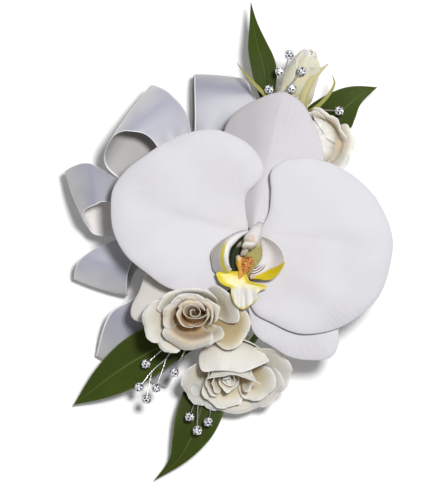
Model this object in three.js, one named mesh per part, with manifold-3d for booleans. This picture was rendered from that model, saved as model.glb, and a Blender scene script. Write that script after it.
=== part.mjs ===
// Wrist corsage: a white moth orchid, spray roses, ruscus leaves, satin ribbon loops and rhinestone
// sprays, each wired and taped, bound into one bundle that a metal clip holds on an elastic wristband.
// Millimetres. +Z faces the viewer, +Y runs along the bound stems, +X runs along the wristband.
// The origin is the middle of the wristband's underside, which the corsage lies on.
import * as THREE from "three";
import { mergeVertices } from "three/addons/utils/BufferGeometryUtils.js";
import Module from "manifold-3d";

const wasm = await Module();
wasm.setup();

const DEG = Math.PI / 180;

// Clearances
const SEAT_GAP = 0.3; // left between pieces that touch
const BEND_GAP = 0.6; // left where a wired stem bends against the bundle

// Elastic wristband, lying flat as a closed loop
const BAND_WIDTH = 22;
const BAND_THICKNESS = 1.2;
const BAND_LENGTH = 72;
const WRIST_GAP = 9;
const LAP_LENGTH = 16;

// Metal clip: a plate with four tabs cut from it and folded over the bundle, held by two rivets
const PLATE_LENGTH = 44;
const PLATE_WIDTH = 22;
const PLATE_THICKNESS = 0.8;
const TAB_WIDTH = 5;
const TAB_THICKNESS = 0.8;
const TAB_SPACING = 14;
const TAB_TIP_GAP = 0.8;
const WINDOW_MARGIN = 0.5;
const RIVET_SPACING = 39;
const RIVET_RADIUS = 1.1;
const RIVET_HEAD_RADIUS = 2;
const RIVET_HEAD_HEIGHT = 0.6;
const RIVET_SIDES = 12;

// Bundle of stems under floral tape
const BUNDLE_RADIUS = 4.2;
const BUNDLE_LENGTH = 48;
const BUNDLE_END_RADIUS = 3.9;
const BUNDLE_TAPER = 5;
const SLOT_RADIUS = 2.5; // ring on the bundle's end face where stems leave it
const BUNDLE_SIDES = 20;
const STEM_RADIUS = 1.1;
const STEM_SIDES = 8;
const STEM_JOIN_Y = 18; // where the side stems meet the bundle

// Orchid bloom
const ORCHID_X = -2;
const ORCHID_Y = -3.2;
const ORCHID_RISE = 17; // petals above the bundle's axis
const ORCHID_TURN = -10 * DEG;
const HUB_RADIUS = 2.8;
const HUB_DEPTH = 5;
const HUB_CROWN = 0.8;
const CLAW_RADIUS = 3.1; // where petals and sepals begin, measured from their own centre
const PETAL_OFFSET = 1.9;
const PETAL_THICKNESS = 0.9;
const PETAL_REACH = 44;
const PETAL_UPPER_EDGE = 21;
const PETAL_LEFT_LOWER_EDGE = 15;
const PETAL_RIGHT_LOWER_EDGE = 23;
const PETAL_SPAN = 83 * DEG;
const PETAL_LEFT_ANGLE = 165 * DEG;
const PETAL_RIGHT_ANGLE = 5 * DEG;
const PETAL_CROWN = 1.6;
const PETAL_WAVE = 0.5;
const PETAL_WAVE_TURN = 7; // radians of wave over half the petal's edge
const SEPAL_SET_BACK = 3.2;
const SEPAL_THICKNESS = 0.8;
const SEPAL_CUP = 0.06; // fall of the edges, as a share of the half width
const DORSAL_LENGTH = 47.5;
const DORSAL_HALF_WIDTH = 16;
const LATERAL_LENGTH = 46;
const LATERAL_LEFT_HALF_WIDTH = 9.5;
const LATERAL_RIGHT_HALF_WIDTH = 14;
const LATERAL_SAG = 9.5; // how far the left sepal falls behind the rose in front of it
const LIP_LENGTH = 18.5;
const LIP_HALF_WIDTH = 7;
const LIP_RISE = 3.4;
const LIP_START = 2.8;
const LIP_THICKNESS = 0.8;
const LIP_ARCH = 3.2;
const LIP_EDGE_LIFT = 0.12; // rise of the edges, as a share of the half width
const CALLUS_RADIUS = 1.75;
const CALLUS_FORWARD = 5.25;
const CALLUS_RISE = 2.4;
const LOBE_SEAT = 0.7; // from the hub's side to the lobe's foot
const LOBE_CURL = 100 * DEG;
const LOBE_TAPER = 0.35;
const LOBE_BACK = 0.2;
const LOBE_LEAN = 1.5;
const LOBE_SKEW = 0.25;
const LOBE_SPREAD = 8.5;
const LOBE_RISE = 7;
const LOBE_HALF_LENGTH = 4.2;
const COLUMN_RADIUS = 2.1;
const COLUMN_LENGTH = 6;
const COLUMN_LEAN = 24 * DEG;
const COLUMN_FORWARD = 0.6;
const COLUMN_SEAT = 1.7; // above the petals' plane, clear of the hub's crown
const COLUMN_SIDES = 12;
const PEDICEL_RADIUS = 1.5;

// Spray roses: size of the largest one, and each rose's share of it
const ROSE_PETAL_THICKNESS = 0.6;
const ROSE_CORE_RADIUS = 3.9;
const ROSE_HEIGHT = 13.5;
const ROSE_HIP_LENGTH = 5;
const ROSE_HIP_RADIUS = 3;
const ROSE_SEPAL_LENGTH = 6;
const ROSE_SEPAL_HALF_WIDTH = 1.5;
const ROSE_SEPAL_DROP = 0.6;
const ROSE_SEPAL_ANGLES = [54, 126, 198, 270, 342];
const ROSE_INNER_RADII = [2.6, 5.1, 5.9, 7]; // three inner petals, from foot to rim
const ROSE_OUTER_RADII = [4.4, 7.4, 8.9, 11.2]; // outer petals, from foot to below the rim
const ROSE_PETAL_FOOT = 1;
const ROSE_TWIST = 0.5; // each petal's one edge over its neighbour's
const COLLAR_SIDES = 16;
const CORE_SIDES = 14;
const HIP_SIDES = 12;

// Bud: core and wrapping petals as [radius, height], and its lie
const BUD_SIZE = 0.85;
const BUD_CORE = [[0, SEAT_GAP], [2.4, SEAT_GAP], [3, 6], [2.9, 13], [1.8, 18], [0, 19]];
const BUD_WRAP = [[2.8, 1], [4.3, 6], [4.4, 12], [3.4, 18]];
const BUD_TWIST = 0.3;
const BUD_LEAN = -76 * DEG;
const BUD_TURN = -14 * DEG;
const BUD_SEPAL_LIFT = 4;

// Ruscus leaves
const LEAF_THICKNESS = 0.7;
const LEAF_FOLD = 0.22; // rise of the blade's halves beside the midrib
const LEAF_STEM_RADIUS = 0.9;

// Satin ribbon
const RIBBON_THICKNESS = 0.5;
const RIBBON_PINCH = 4; // gathered width at the knot
const KNOT_X = -21;
const KNOT_Y = 2;
const KNOT_RADIUS = 2.6;
const KNOT_BELOW = 3.1; // knot's ends, from the bundle's axis
const KNOT_ABOVE = 8;
const KNOT_SIDES = 12;
const LAYER_SPLIT = 0.6; // half the distance between a loop's two layers at the knot

// Rhinestone sprays
const SPRAY_WIRE_RADIUS = 0.4;
const SPRAY_WIRE_SIDES = 6;
const STONE_RADIUS = 1.45;
const STONE_FACETS = 8;

// Heights worked out from the sizes above
const lowerTop = BAND_THICKNESS;
const upperBottom = lowerTop + WRIST_GAP;
const upperTop = upperBottom + BAND_THICKNESS;
const plateBottom = upperTop + SEAT_GAP;
const plateTop = plateBottom + PLATE_THICKNESS;
const bundleZ = plateTop + SEAT_GAP + BUNDLE_RADIUS;
const orchidZ = bundleZ + ORCHID_RISE;
const bundleEnd = BUNDLE_LENGTH / 2;

function finish(color, roughness, metalness = 0) {
  return new THREE.MeshStandardMaterial({ color, roughness, metalness });
}

const elastic = finish(0xf1efe9, 0.9);
const clipMetal = finish(0xc4c6c8, 0.35, 1);
const floralTape = finish(0x55692f, 0.85);
const orchidWhite = finish(0xf4f2f4, 0.55);
const lipYellow = finish(0xf0dc3c, 0.5);
const columnWhite = finish(0xf3ebe6, 0.5);
const roseCream = finish(0xf3ead2, 0.65);
const calyxGreen = finish(0x7f8c3a, 0.7);
const leafGreen = finish(0x2f5219, 0.35);
const satin = finish(0xdfdfea, 0.4);
const bowWire = finish(0xd8d8dc, 0.5, 0.6);
const silver = finish(0xd9dbe2, 0.12, 0.8);

const corsage = new THREE.Group();

function vec(x, y, z) {
  return new THREE.Vector3(x, y, z);
}

function addMesh(parent, name, geometry, material) {
  const mesh = new THREE.Mesh(geometry, material);
  mesh.name = name;
  parent.add(mesh);
  return mesh;
}

function addGroup(parent, position, rotation = new THREE.Euler()) {
  const group = new THREE.Group();
  group.position.copy(position);
  group.rotation.copy(rotation);
  parent.add(group);
  return group;
}

// Booleans

function toSolid(geometry) {
  const bare = geometry.clone();
  for (const name of Object.keys(bare.attributes)) {
    if (name !== "position") bare.deleteAttribute(name);
  }
  const merged = mergeVertices(bare, 1e-3);
  const vertProperties = merged.attributes.position.array;
  const triVerts = new Uint32Array(merged.index.array);
  return new wasm.Manifold(new wasm.Mesh({ numProp: 3, vertProperties, triVerts }));
}

function toGeometry(solid) {
  const { numProp, numVert, vertProperties, triVerts } = solid.getMesh();
  const position = new Float32Array(numVert * 3);
  for (let i = 0; i < numVert; i++) {
    position.set(vertProperties.subarray(i * numProp, i * numProp + 3), i * 3);
  }
  return new THREE.BufferGeometry()
    .setAttribute("position", new THREE.BufferAttribute(position, 3))
    .setIndex(new THREE.BufferAttribute(triVerts, 1));
}

function join(geometries) {
  return toGeometry(geometries.map(toSolid).reduce((whole, piece) => whole.add(piece)));
}

function cut(geometry, tools) {
  return toGeometry(tools.map(toSolid).reduce((whole, tool) => whole.subtract(tool), toSolid(geometry)));
}

// Shapes

function box(sizeX, sizeY, sizeZ, centre) {
  return new THREE.BoxGeometry(sizeX, sizeY, sizeZ).translate(centre.x, centre.y, centre.z);
}

// A solid turned about +Z from [radius, height] pairs.
function turned(profile, segments) {
  const points = profile.map(([radius, height]) => new THREE.Vector2(radius, height));
  return new THREE.LatheGeometry(points, segments).rotateX(Math.PI / 2);
}

// A round bar along a smooth curve through the points.
function bar(points, radius, sides = 8, steps = 8) {
  const section = new THREE.Shape();
  for (let i = 0; i < sides; i++) {
    const angle = (i / sides) * 2 * Math.PI;
    const corner = [radius * Math.cos(angle), radius * Math.sin(angle)];
    if (i === 0) section.moveTo(...corner);
    else section.lineTo(...corner);
  }
  section.closePath();
  const extrudePath = new THREE.CatmullRomCurve3(points);
  return new THREE.ExtrudeGeometry(section, { steps, extrudePath });
}

// A closed thin solid on both sides of the surface point(u, v), u from 0 to 1 and v from -1 to 1.
function sheet(point, along, across, thickness) {
  const step = 1e-3;
  const front = [];
  const back = [];
  for (let i = 0; i <= along; i++) {
    for (let j = 0; j <= across; j++) {
      const u = i / along;
      const v = (2 * j) / across - 1;
      const du = point(Math.min(1, u + step), v).sub(point(Math.max(0, u - step), v));
      const dv = point(u, Math.min(1, v + step)).sub(point(u, Math.max(-1, v - step)));
      const half = du.cross(dv).setLength(thickness / 2);
      front.push(point(u, v).add(half));
      back.push(point(u, v).sub(half));
    }
  }
  const count = front.length;
  const at = (i, j) => i * (across + 1) + j;
  const index = [];
  for (let i = 0; i < along; i++) {
    for (let j = 0; j < across; j++) {
      const [a, b, c, d] = [at(i, j), at(i + 1, j), at(i + 1, j + 1), at(i, j + 1)];
      index.push(a, b, c, a, c, d);
      index.push(count + a, count + c, count + b, count + a, count + d, count + c);
    }
  }
  const rim = [];
  for (let i = 0; i < along; i++) rim.push(at(i, 0));
  for (let j = 0; j < across; j++) rim.push(at(along, j));
  for (let i = along; i > 0; i--) rim.push(at(i, across));
  for (let j = across; j > 0; j--) rim.push(at(0, j));
  rim.forEach((p, k) => {
    const q = rim[(k + 1) % rim.length];
    index.push(p, count + p, count + q, p, count + q, q);
  });
  return new THREE.BufferGeometry().setFromPoints([...front, ...back]).setIndex(index);
}

// Elastic wristband

function addWristband() {
  const foldRadius = lowerTop + WRIST_GAP / 2;
  const innerRadius = WRIST_GAP / 2;
  const straight = BAND_LENGTH - 2 * foldRadius;
  const strap = box(straight, BAND_WIDTH, BAND_THICKNESS, vec(0, 0, (upperBottom + upperTop) / 2));
  const holes = [-1, 1].map(rivetHole);
  addMesh(corsage, "band_upper_strap", cut(strap, holes), elastic);
  const lower = box(straight, BAND_WIDTH, BAND_THICKNESS, vec(0, 0, lowerTop / 2));
  addMesh(corsage, "band_lower_strap", lower, elastic);
  const lapZ = lowerTop + SEAT_GAP + BAND_THICKNESS / 2;
  const lap = box(LAP_LENGTH, BAND_WIDTH, BAND_THICKNESS, vec(0, 0, lapZ));
  addMesh(corsage, "band_sewn_lap", lap, elastic);
  for (const [name, side] of [["left", -1], ["right", 1]]) {
    const section = new THREE.Shape();
    section.absarc(0, 0, foldRadius, -Math.PI / 2, Math.PI / 2, false);
    section.absarc(0, 0, innerRadius, Math.PI / 2, -Math.PI / 2, true);
    section.closePath();
    const options = { depth: BAND_WIDTH, bevelEnabled: false, curveSegments: 10 };
    const fold = new THREE.ExtrudeGeometry(section, options);
    fold.translate(straight / 2 + SEAT_GAP, 0, -BAND_WIDTH / 2).rotateX(Math.PI / 2);
    const group = addGroup(corsage, vec(0, 0, foldRadius), new THREE.Euler(0, 0, side < 0 ? Math.PI : 0));
    addMesh(group, `band_fold_${name}`, fold, elastic);
  }
}

// Metal clip

const tabHinge = BUNDLE_RADIUS + SEAT_GAP + TAB_THICKNESS / 2;
const tabBottom = plateTop + SEAT_GAP;
const tabTop = bundleZ + BUNDLE_RADIUS + SEAT_GAP;

function addClip() {
  const middle = (plateBottom + plateTop) / 2;
  const plate = box(PLATE_LENGTH, PLATE_WIDTH, PLATE_THICKNESS, vec(0, 0, middle));
  const tabLength = tabTop + TAB_THICKNESS - tabBottom + tabHinge;
  const tools = [];
  for (const side of [-1, 1]) {
    tools.push(rivetHole(side));
    for (const row of [-1, 1]) {
      const windowX = side * (tabHinge + tabLength / 2);
      const windowY = (row * TAB_SPACING) / 2;
      const windowWidth = TAB_WIDTH + 2 * WINDOW_MARGIN;
      tools.push(box(tabLength, windowWidth, PLATE_THICKNESS * 3, vec(windowX, windowY, middle)));
    }
  }
  addMesh(corsage, "clip_plate", cut(plate, tools), clipMetal);
  for (const [name, side] of [["left", -1], ["right", 1]]) {
    addMesh(corsage, `plate_rivet_${name}`, rivet().translate((side * RIVET_SPACING) / 2, 0, 0), clipMetal);
    for (const [end, row] of [["lower", -1], ["upper", 1]]) {
      const place = vec(side * tabHinge, (row * TAB_SPACING) / 2, tabBottom);
      const group = addGroup(corsage, place, new THREE.Euler(0, 0, side < 0 ? Math.PI : 0));
      addMesh(group, `clip_tab_${name}_${end}`, tab(), clipMetal);
    }
  }
}

// The hole for a rivet, through the strap and the plate.
function rivetHole(side) {
  const radius = RIVET_RADIUS + SEAT_GAP;
  const depth = 4 * (BAND_THICKNESS + PLATE_THICKNESS);
  const hole = new THREE.CylinderGeometry(radius, radius, depth, RIVET_SIDES).rotateX(Math.PI / 2);
  return hole.translate((side * RIVET_SPACING) / 2, 0, upperTop);
}

function rivet() {
  const bottom = upperBottom - SEAT_GAP;
  const top = plateTop + SEAT_GAP;
  return turned(
    [
      [0, bottom - RIVET_HEAD_HEIGHT],
      [RIVET_HEAD_RADIUS, bottom - RIVET_HEAD_HEIGHT],
      [RIVET_HEAD_RADIUS, bottom],
      [RIVET_RADIUS, bottom],
      [RIVET_RADIUS, top],
      [RIVET_HEAD_RADIUS, top],
      [RIVET_HEAD_RADIUS, top + RIVET_HEAD_HEIGHT / 2],
      [RIVET_HEAD_RADIUS / 2, top + RIVET_HEAD_HEIGHT],
      [0, top + RIVET_HEAD_HEIGHT],
    ],
    RIVET_SIDES,
  );
}

// A tab stands on its bend line and leans over the bundle, towards its own -X.
function tab() {
  const half = TAB_THICKNESS / 2;
  const height = tabTop - tabBottom;
  const reach = tabHinge - TAB_TIP_GAP / 2;
  const section = new THREE.Shape();
  section.moveTo(-half, 0);
  section.lineTo(half, 0);
  section.lineTo(half, height);
  section.absarc(-half, height, TAB_THICKNESS, 0, Math.PI / 2, false);
  section.lineTo(-reach, height + TAB_THICKNESS);
  section.lineTo(-reach, height);
  section.lineTo(-half, height);
  section.closePath();
  const options = { depth: TAB_WIDTH, bevelEnabled: false, curveSegments: 5 };
  const bent = new THREE.ExtrudeGeometry(section, options);
  return bent.translate(0, 0, -TAB_WIDTH / 2).rotateX(Math.PI / 2);
}

// Bundle and stems

function addBundle() {
  const profile = [
    [0, -bundleEnd],
    [BUNDLE_END_RADIUS, -bundleEnd],
    [BUNDLE_RADIUS, -bundleEnd + BUNDLE_TAPER],
    [BUNDLE_RADIUS, bundleEnd - BUNDLE_TAPER],
    [BUNDLE_END_RADIUS, bundleEnd],
    [0, bundleEnd],
  ];
  const bundle = turned(profile, BUNDLE_SIDES).rotateX(-Math.PI / 2).translate(0, 0, bundleZ);
  addMesh(corsage, "stem_bundle", bundle, floralTape);
}

// A point just off the bundle's end face: end is 1 for the upper end and -1 for the lower one.
function endSlot(end, angle, gap = SEAT_GAP) {
  const x = SLOT_RADIUS * Math.cos(angle * DEG);
  const z = SLOT_RADIUS * Math.sin(angle * DEG);
  return vec(x, end * (bundleEnd + gap), bundleZ + z);
}

// A stem's first stretch, square to the end face, then its free points.
function fromEnd(slot, points) {
  const out = vec(slot.x, slot.y + Math.sign(slot.y) * 2 * STEM_RADIUS, slot.z);
  return [slot, out, ...points];
}

function aboveBundle(x, y, rise) {
  return vec(x, y, bundleZ + rise);
}

// Orchid

function fanPetal(side, angle) {
  return sheet((u, v) => {
    const lower = side < 0 ? PETAL_LEFT_LOWER_EDGE : PETAL_RIGHT_LOWER_EDGE;
    const edge = v * side > 0 ? PETAL_UPPER_EDGE : lower;
    const outer = PETAL_REACH - (PETAL_REACH - edge) * v * v;
    const radius = CLAW_RADIUS + u * (outer - CLAW_RADIUS);
    const turn = angle + v * PETAL_SPAN;
    const wave = PETAL_WAVE * u * u * Math.sin(PETAL_WAVE_TURN * v + side);
    const z = PETAL_CROWN * Math.sin(Math.PI * u * 0.8) + wave;
    return vec(radius * Math.cos(turn), radius * Math.sin(turn), z);
  }, 6, 14, PETAL_THICKNESS);
}

// A sepal runs along its own +Y from the hub, broadest past its middle, and falls by sag at its tip.
// Its -X side has a share of its width.
function sepal(length, halfWidth, sag, share) {
  return sheet((u, v) => {
    const swell = Math.sin((Math.PI / 2) * Math.min(1, (u + 0.1) / 0.65));
    const side = v < 0 ? share : 1;
    const width = side * halfWidth * swell * Math.sqrt(1 - Math.pow(Math.max(0, (u - 0.5) / 0.52), 2));
    const fall = sag * (1 - Math.pow(1 - u, 2));
    const cup = SEPAL_CUP * width * v * v;
    return vec(v * width, CLAW_RADIUS + u * (length - CLAW_RADIUS), -fall - cup);
  }, 8, 6, SEPAL_THICKNESS);
}

function lip() {
  const blade = sheet((u, v) => {
    const swell = Math.sin(Math.PI * (0.02 + 0.95 * Math.pow(u, 0.9)));
    const width = LIP_HALF_WIDTH * (0.15 + 0.85 * Math.pow(swell, 1.3));
    const z = LIP_RISE + LIP_ARCH * Math.sin(Math.PI * u * 0.75) + LIP_EDGE_LIFT * width * v * v;
    return vec(v * width, -LIP_START - u * LIP_LENGTH, z);
  }, 8, 6, LIP_THICKNESS);
  const callus = new THREE.SphereGeometry(CALLUS_RADIUS, 8, 6).scale(1, 1.3, 1);
  return join([blade, callus.translate(0, -LIP_START - CALLUS_FORWARD, LIP_RISE + CALLUS_RISE)]);
}

// A side lobe stands beside the column and curls over it.
function sideLobe(side) {
  return sheet((u, v) => {
    const curl = u * LOBE_CURL;
    const x = side * (HUB_RADIUS + LOBE_SEAT + LOBE_SPREAD * Math.sin(curl));
    const y = side * v * LOBE_HALF_LENGTH * (1 - LOBE_TAPER * u) + LOBE_LEAN * u - LOBE_BACK;
    return vec(x, y, LIP_RISE + LOBE_RISE * (1 - Math.cos(curl)) + LOBE_SKEW * v);
  }, 6, 4, LIP_THICKNESS);
}

function addOrchid() {
  const bloom = addGroup(corsage, vec(ORCHID_X, ORCHID_Y, orchidZ), new THREE.Euler(0, 0, ORCHID_TURN));
  const left = addGroup(bloom, vec(-PETAL_OFFSET, 0, 0));
  addMesh(left, "orchid_petal_left", fanPetal(-1, PETAL_LEFT_ANGLE), orchidWhite);
  const right = addGroup(bloom, vec(PETAL_OFFSET, 0, 0));
  addMesh(right, "orchid_petal_right", fanPetal(1, PETAL_RIGHT_ANGLE), orchidWhite);

  const sepals = [
    ["orchid_sepal_dorsal", 87.5, DORSAL_LENGTH, DORSAL_HALF_WIDTH, 0.6, 1],
    ["orchid_sepal_left", 224, LATERAL_LENGTH, LATERAL_LEFT_HALF_WIDTH, LATERAL_SAG, 0.55],
    ["orchid_sepal_right", -50, LATERAL_LENGTH, LATERAL_RIGHT_HALF_WIDTH, 0.4, 1],
  ];
  for (const [name, angle, length, halfWidth, sag, share] of sepals) {
    const turn = new THREE.Euler(0, 0, (angle - 90) * DEG);
    const group = addGroup(bloom, vec(0, 0, -SEPAL_SET_BACK), turn);
    addMesh(group, name, sepal(length, halfWidth, sag, share), orchidWhite);
  }

  addMesh(bloom, "orchid_lip", lip(), lipYellow);
  addMesh(bloom, "orchid_lip_lobe_left", sideLobe(-1), lipYellow);
  addMesh(bloom, "orchid_lip_lobe_right", sideLobe(1), lipYellow);

  const lean = addGroup(bloom, vec(0, COLUMN_FORWARD, COLUMN_SEAT), new THREE.Euler(COLUMN_LEAN, 0, 0));
  const shaft = [
    [0, 0],
    [COLUMN_RADIUS * 0.8, 0],
    [COLUMN_RADIUS * 0.8, COLUMN_LENGTH / 2],
    [COLUMN_RADIUS, COLUMN_LENGTH],
    [0, COLUMN_LENGTH],
  ];
  addMesh(lean, "orchid_column", turned(shaft, COLUMN_SIDES), columnWhite);
  const cap = [
    [0, COLUMN_LENGTH + SEAT_GAP],
    [COLUMN_RADIUS, COLUMN_LENGTH + SEAT_GAP],
    [COLUMN_RADIUS * 0.85, COLUMN_LENGTH + COLUMN_RADIUS * 0.6],
    [0, COLUMN_LENGTH + COLUMN_RADIUS],
  ];
  addMesh(lean, "orchid_anther_cap", turned(cap, COLUMN_SIDES), columnWhite);

  const rim = [HUB_RADIUS, HUB_CROWN / 2];
  const hub = turned([[0, -HUB_DEPTH], [HUB_RADIUS, -HUB_DEPTH + 1], rim, [0, HUB_CROWN]], COLUMN_SIDES);
  const top = vec(ORCHID_X, ORCHID_Y, orchidZ - HUB_DEPTH + 0.6);
  const bottom = vec(0, ORCHID_Y / 3, bundleZ + BUNDLE_RADIUS + SEAT_GAP);
  const stem = bar([bottom, vec(0, ORCHID_Y / 3, bottom.z + 2), top], PEDICEL_RADIUS, STEM_SIDES, 5);
  addMesh(corsage, "orchid_pedicel", join([hub.translate(ORCHID_X, ORCHID_Y, orchidZ), stem]), floralTape);
}

// Roses

function evenly(count, first) {
  return Array.from({ length: count }, (_, i) => [first + (i * 360) / count, 1]);
}

// One ring of cupped petals round a rose's own +Z, joined at a collar. The profile runs from base to rim
// and each petal has its azimuth and its reach, a share of the profile's.
function petalRing(profile, petals, spread, twist) {
  const curve = new THREE.SplineCurve(profile.map(([radius, height]) => new THREE.Vector2(radius, height)));
  const [baseRadius, baseHeight] = profile[0];
  const half = ROSE_PETAL_THICKNESS;
  const collar = turned(
    [
      [baseRadius - half, baseHeight - half / 2],
      [baseRadius + half, baseHeight - half / 2],
      [baseRadius + half, baseHeight + half],
      [baseRadius - half, baseHeight + half],
      [baseRadius - half, baseHeight - half / 2],
    ],
    COLLAR_SIDES,
  );
  const blades = petals.map(([azimuth, reach]) =>
    sheet((u, v) => {
      const along = u * (1 - 0.22 * v * v);
      const { x, y } = curve.getPoint(Math.min(1, Math.max(0, along)));
      const angle = azimuth * DEG + v * spread * DEG * (0.55 + 0.45 * Math.sin((Math.PI / 2) * along));
      const radius = baseRadius + (x - baseRadius) * reach + twist * v * u;
      return vec(radius * Math.cos(angle), radius * Math.sin(angle), y);
    }, 5, 4, ROSE_PETAL_THICKNESS),
  );
  return join([collar, ...blades]);
}

function roseHip(size, sepalSag) {
  const hip = turned(
    [
      [0, -ROSE_HIP_LENGTH * size],
      [STEM_RADIUS, -ROSE_HIP_LENGTH * size],
      [ROSE_HIP_RADIUS * size, -ROSE_HIP_LENGTH * 0.45 * size],
      [ROSE_HIP_RADIUS * size, 0],
      [0, 0],
    ],
    HIP_SIDES,
  );
  const sepals = ROSE_SEPAL_ANGLES.map((angle) =>
    sheet((u, v) => {
      const width = ROSE_SEPAL_HALF_WIDTH * (0.15 + 0.85 * Math.pow(1 - Math.max(0, u), 0.8)) * size;
      const length = ROSE_HIP_RADIUS * 0.8 * size + u * ROSE_SEPAL_LENGTH * size;
      return vec(length, v * width, -(ROSE_SEPAL_DROP + sepalSag * u * u) * size);
    }, 4, 2, ROSE_PETAL_THICKNESS * 0.8).rotateZ(angle * DEG),
  );
  return join([hip, ...sepals]);
}

// A stem from below a head's hip, along the head's axis first, to the bundle.
function addStem(name, head, hipLength, points, radius = STEM_RADIUS) {
  head.updateWorldMatrix(true, false);
  const start = head.localToWorld(vec(0, 0, -hipLength - SEAT_GAP));
  const below = head.localToWorld(vec(0, 0, -hipLength - SEAT_GAP - 2 * radius));
  addMesh(corsage, name, bar([start, below, ...points], radius, STEM_SIDES, 9), floralTape);
}

function addRose({ name, place, tilt, size, outer, stem }) {
  const head = addGroup(corsage, place, new THREE.Euler(tilt[0] * DEG, tilt[1] * DEG, 0));
  const scaled = (profile) => profile.map(([radius, height]) => [radius * size, height * size]);
  const core = scaled([
    [0, SEAT_GAP],
    [1.5, SEAT_GAP],
    [ROSE_CORE_RADIUS * 0.9, ROSE_HEIGHT * 0.3],
    [ROSE_CORE_RADIUS, ROSE_HEIGHT * 0.6],
    [ROSE_CORE_RADIUS * 0.8, ROSE_HEIGHT * 0.88],
    [ROSE_CORE_RADIUS * 0.35, ROSE_HEIGHT * 0.92],
    [0, ROSE_HEIGHT * 0.84],
  ]);
  const innerHeights = [ROSE_PETAL_FOOT, ROSE_HEIGHT * 0.35, ROSE_HEIGHT * 0.7, ROSE_HEIGHT];
  const inner = scaled(ROSE_INNER_RADII.map((radius, i) => [radius, innerHeights[i]]));
  const outerHeights = [ROSE_PETAL_FOOT, ROSE_HEIGHT * 0.3, ROSE_HEIGHT * 0.62, ROSE_HEIGHT * 0.84];
  const wide = scaled([
    ...ROSE_OUTER_RADII.map((radius, i) => [radius, outerHeights[i]]),
    [outer.rim, ROSE_HEIGHT * 0.9],
  ]);
  const heart = join([turned(core, CORE_SIDES), petalRing(inner, evenly(3, 20), 68, ROSE_TWIST)]);
  addMesh(head, `${name}_heart`, heart, roseCream);
  addMesh(head, `${name}_outer_petals`, petalRing(wide, outer.petals, outer.spread, ROSE_TWIST), roseCream);
  addMesh(head, `${name}_calyx`, roseHip(size, 0.2), calyxGreen);
  addStem(`${name}_stem`, head, ROSE_HIP_LENGTH * size, stem);
}

// A stem's last stretch, square to the bundle: its left side near the lower end, its right near the upper.
function toSide(side) {
  const reach = BUNDLE_RADIUS + SEAT_GAP;
  return [reach + 2.3 * STEM_RADIUS, reach].map((x) => aboveBundle(side * x, side * STEM_JOIN_Y, 0));
}

function addRoses() {
  addRose({
    name: "rose_front",
    place: aboveBundle(-21, -29.5, 8),
    tilt: [-5, 3],
    size: 1,
    outer: { rim: 16, petals: [[168, 1], [215, 0.95], [262, 0.7], [308, 0.7], [350, 1.15]], spread: 40 },
    stem: [aboveBundle(-12, -23, -1), ...toSide(-1)],
  });
  addRose({
    name: "rose_lower",
    place: aboveBundle(-6, -45, -6),
    tilt: [22, 0],
    size: 1,
    outer: { rim: 16.5, petals: evenly(5, 18), spread: 46 },
    stem: [aboveBundle(0, -34, -7), ...fromEnd(endSlot(-1, 0), []).reverse()],
  });
  addRose({
    name: "rose_upper",
    place: aboveBundle(20, 27.5, -2.5),
    tilt: [0, 0],
    size: 0.9,
    outer: { rim: 12.5, petals: evenly(5, 10), spread: 46 },
    stem: [aboveBundle(12, 21, -5.5), ...toSide(1)],
  });
}

// The closed bud lies over and points up and to the right.
function addBud() {
  const head = addGroup(corsage, aboveBundle(12.4, 38.6, 0), new THREE.Euler(BUD_LEAN, 0, BUD_TURN, "ZXY"));
  const wrap = petalRing(BUD_WRAP, evenly(3, 90), 72, BUD_TWIST);
  addMesh(head, "rose_bud_heart", join([turned(BUD_CORE, HIP_SIDES), wrap]), roseCream);
  addMesh(head, "rose_bud_calyx", roseHip(BUD_SIZE, -BUD_SEPAL_LIFT), calyxGreen);
  addStem("rose_bud_stem", head, ROSE_HIP_LENGTH * BUD_SIZE, fromEnd(endSlot(1, 0), []).reverse());
}

// Leaves

// A blade from base to tip, arched upwards, its halves lifted beside the midrib.
function leafBlade(base, tip, halfWidth, arch) {
  const forward = tip.clone().sub(base).normalize();
  const side = forward.clone().cross(vec(0, 0, 1)).normalize();
  const up = side.clone().cross(forward);
  return sheet((u, v) => {
    const swell = Math.sin(Math.PI * Math.pow(0.06 + 0.93 * u, 0.8));
    const width = halfWidth * (0.05 + 0.95 * Math.pow(swell, 1.15));
    const rise = arch * Math.sin(Math.PI * u) + LEAF_FOLD * width * Math.abs(v);
    return base.clone().lerp(tip, u).addScaledVector(side, v * width).addScaledVector(up, rise);
  }, 10, 4, LEAF_THICKNESS);
}

function addLeaf({ name, slot, bend, base, tip, halfWidth, arch }) {
  addMesh(corsage, `${name}_blade`, leafBlade(base, tip, halfWidth, arch), leafGreen);
  const back = base.clone().sub(tip).normalize();
  const end = base.clone().addScaledVector(back, SEAT_GAP);
  const stem = fromEnd(slot, [bend, end.clone().addScaledVector(back, 2 * LEAF_STEM_RADIUS), end]);
  addMesh(corsage, `${name}_stem`, bar(stem, LEAF_STEM_RADIUS, STEM_SIDES, 8), floralTape);
}

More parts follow.
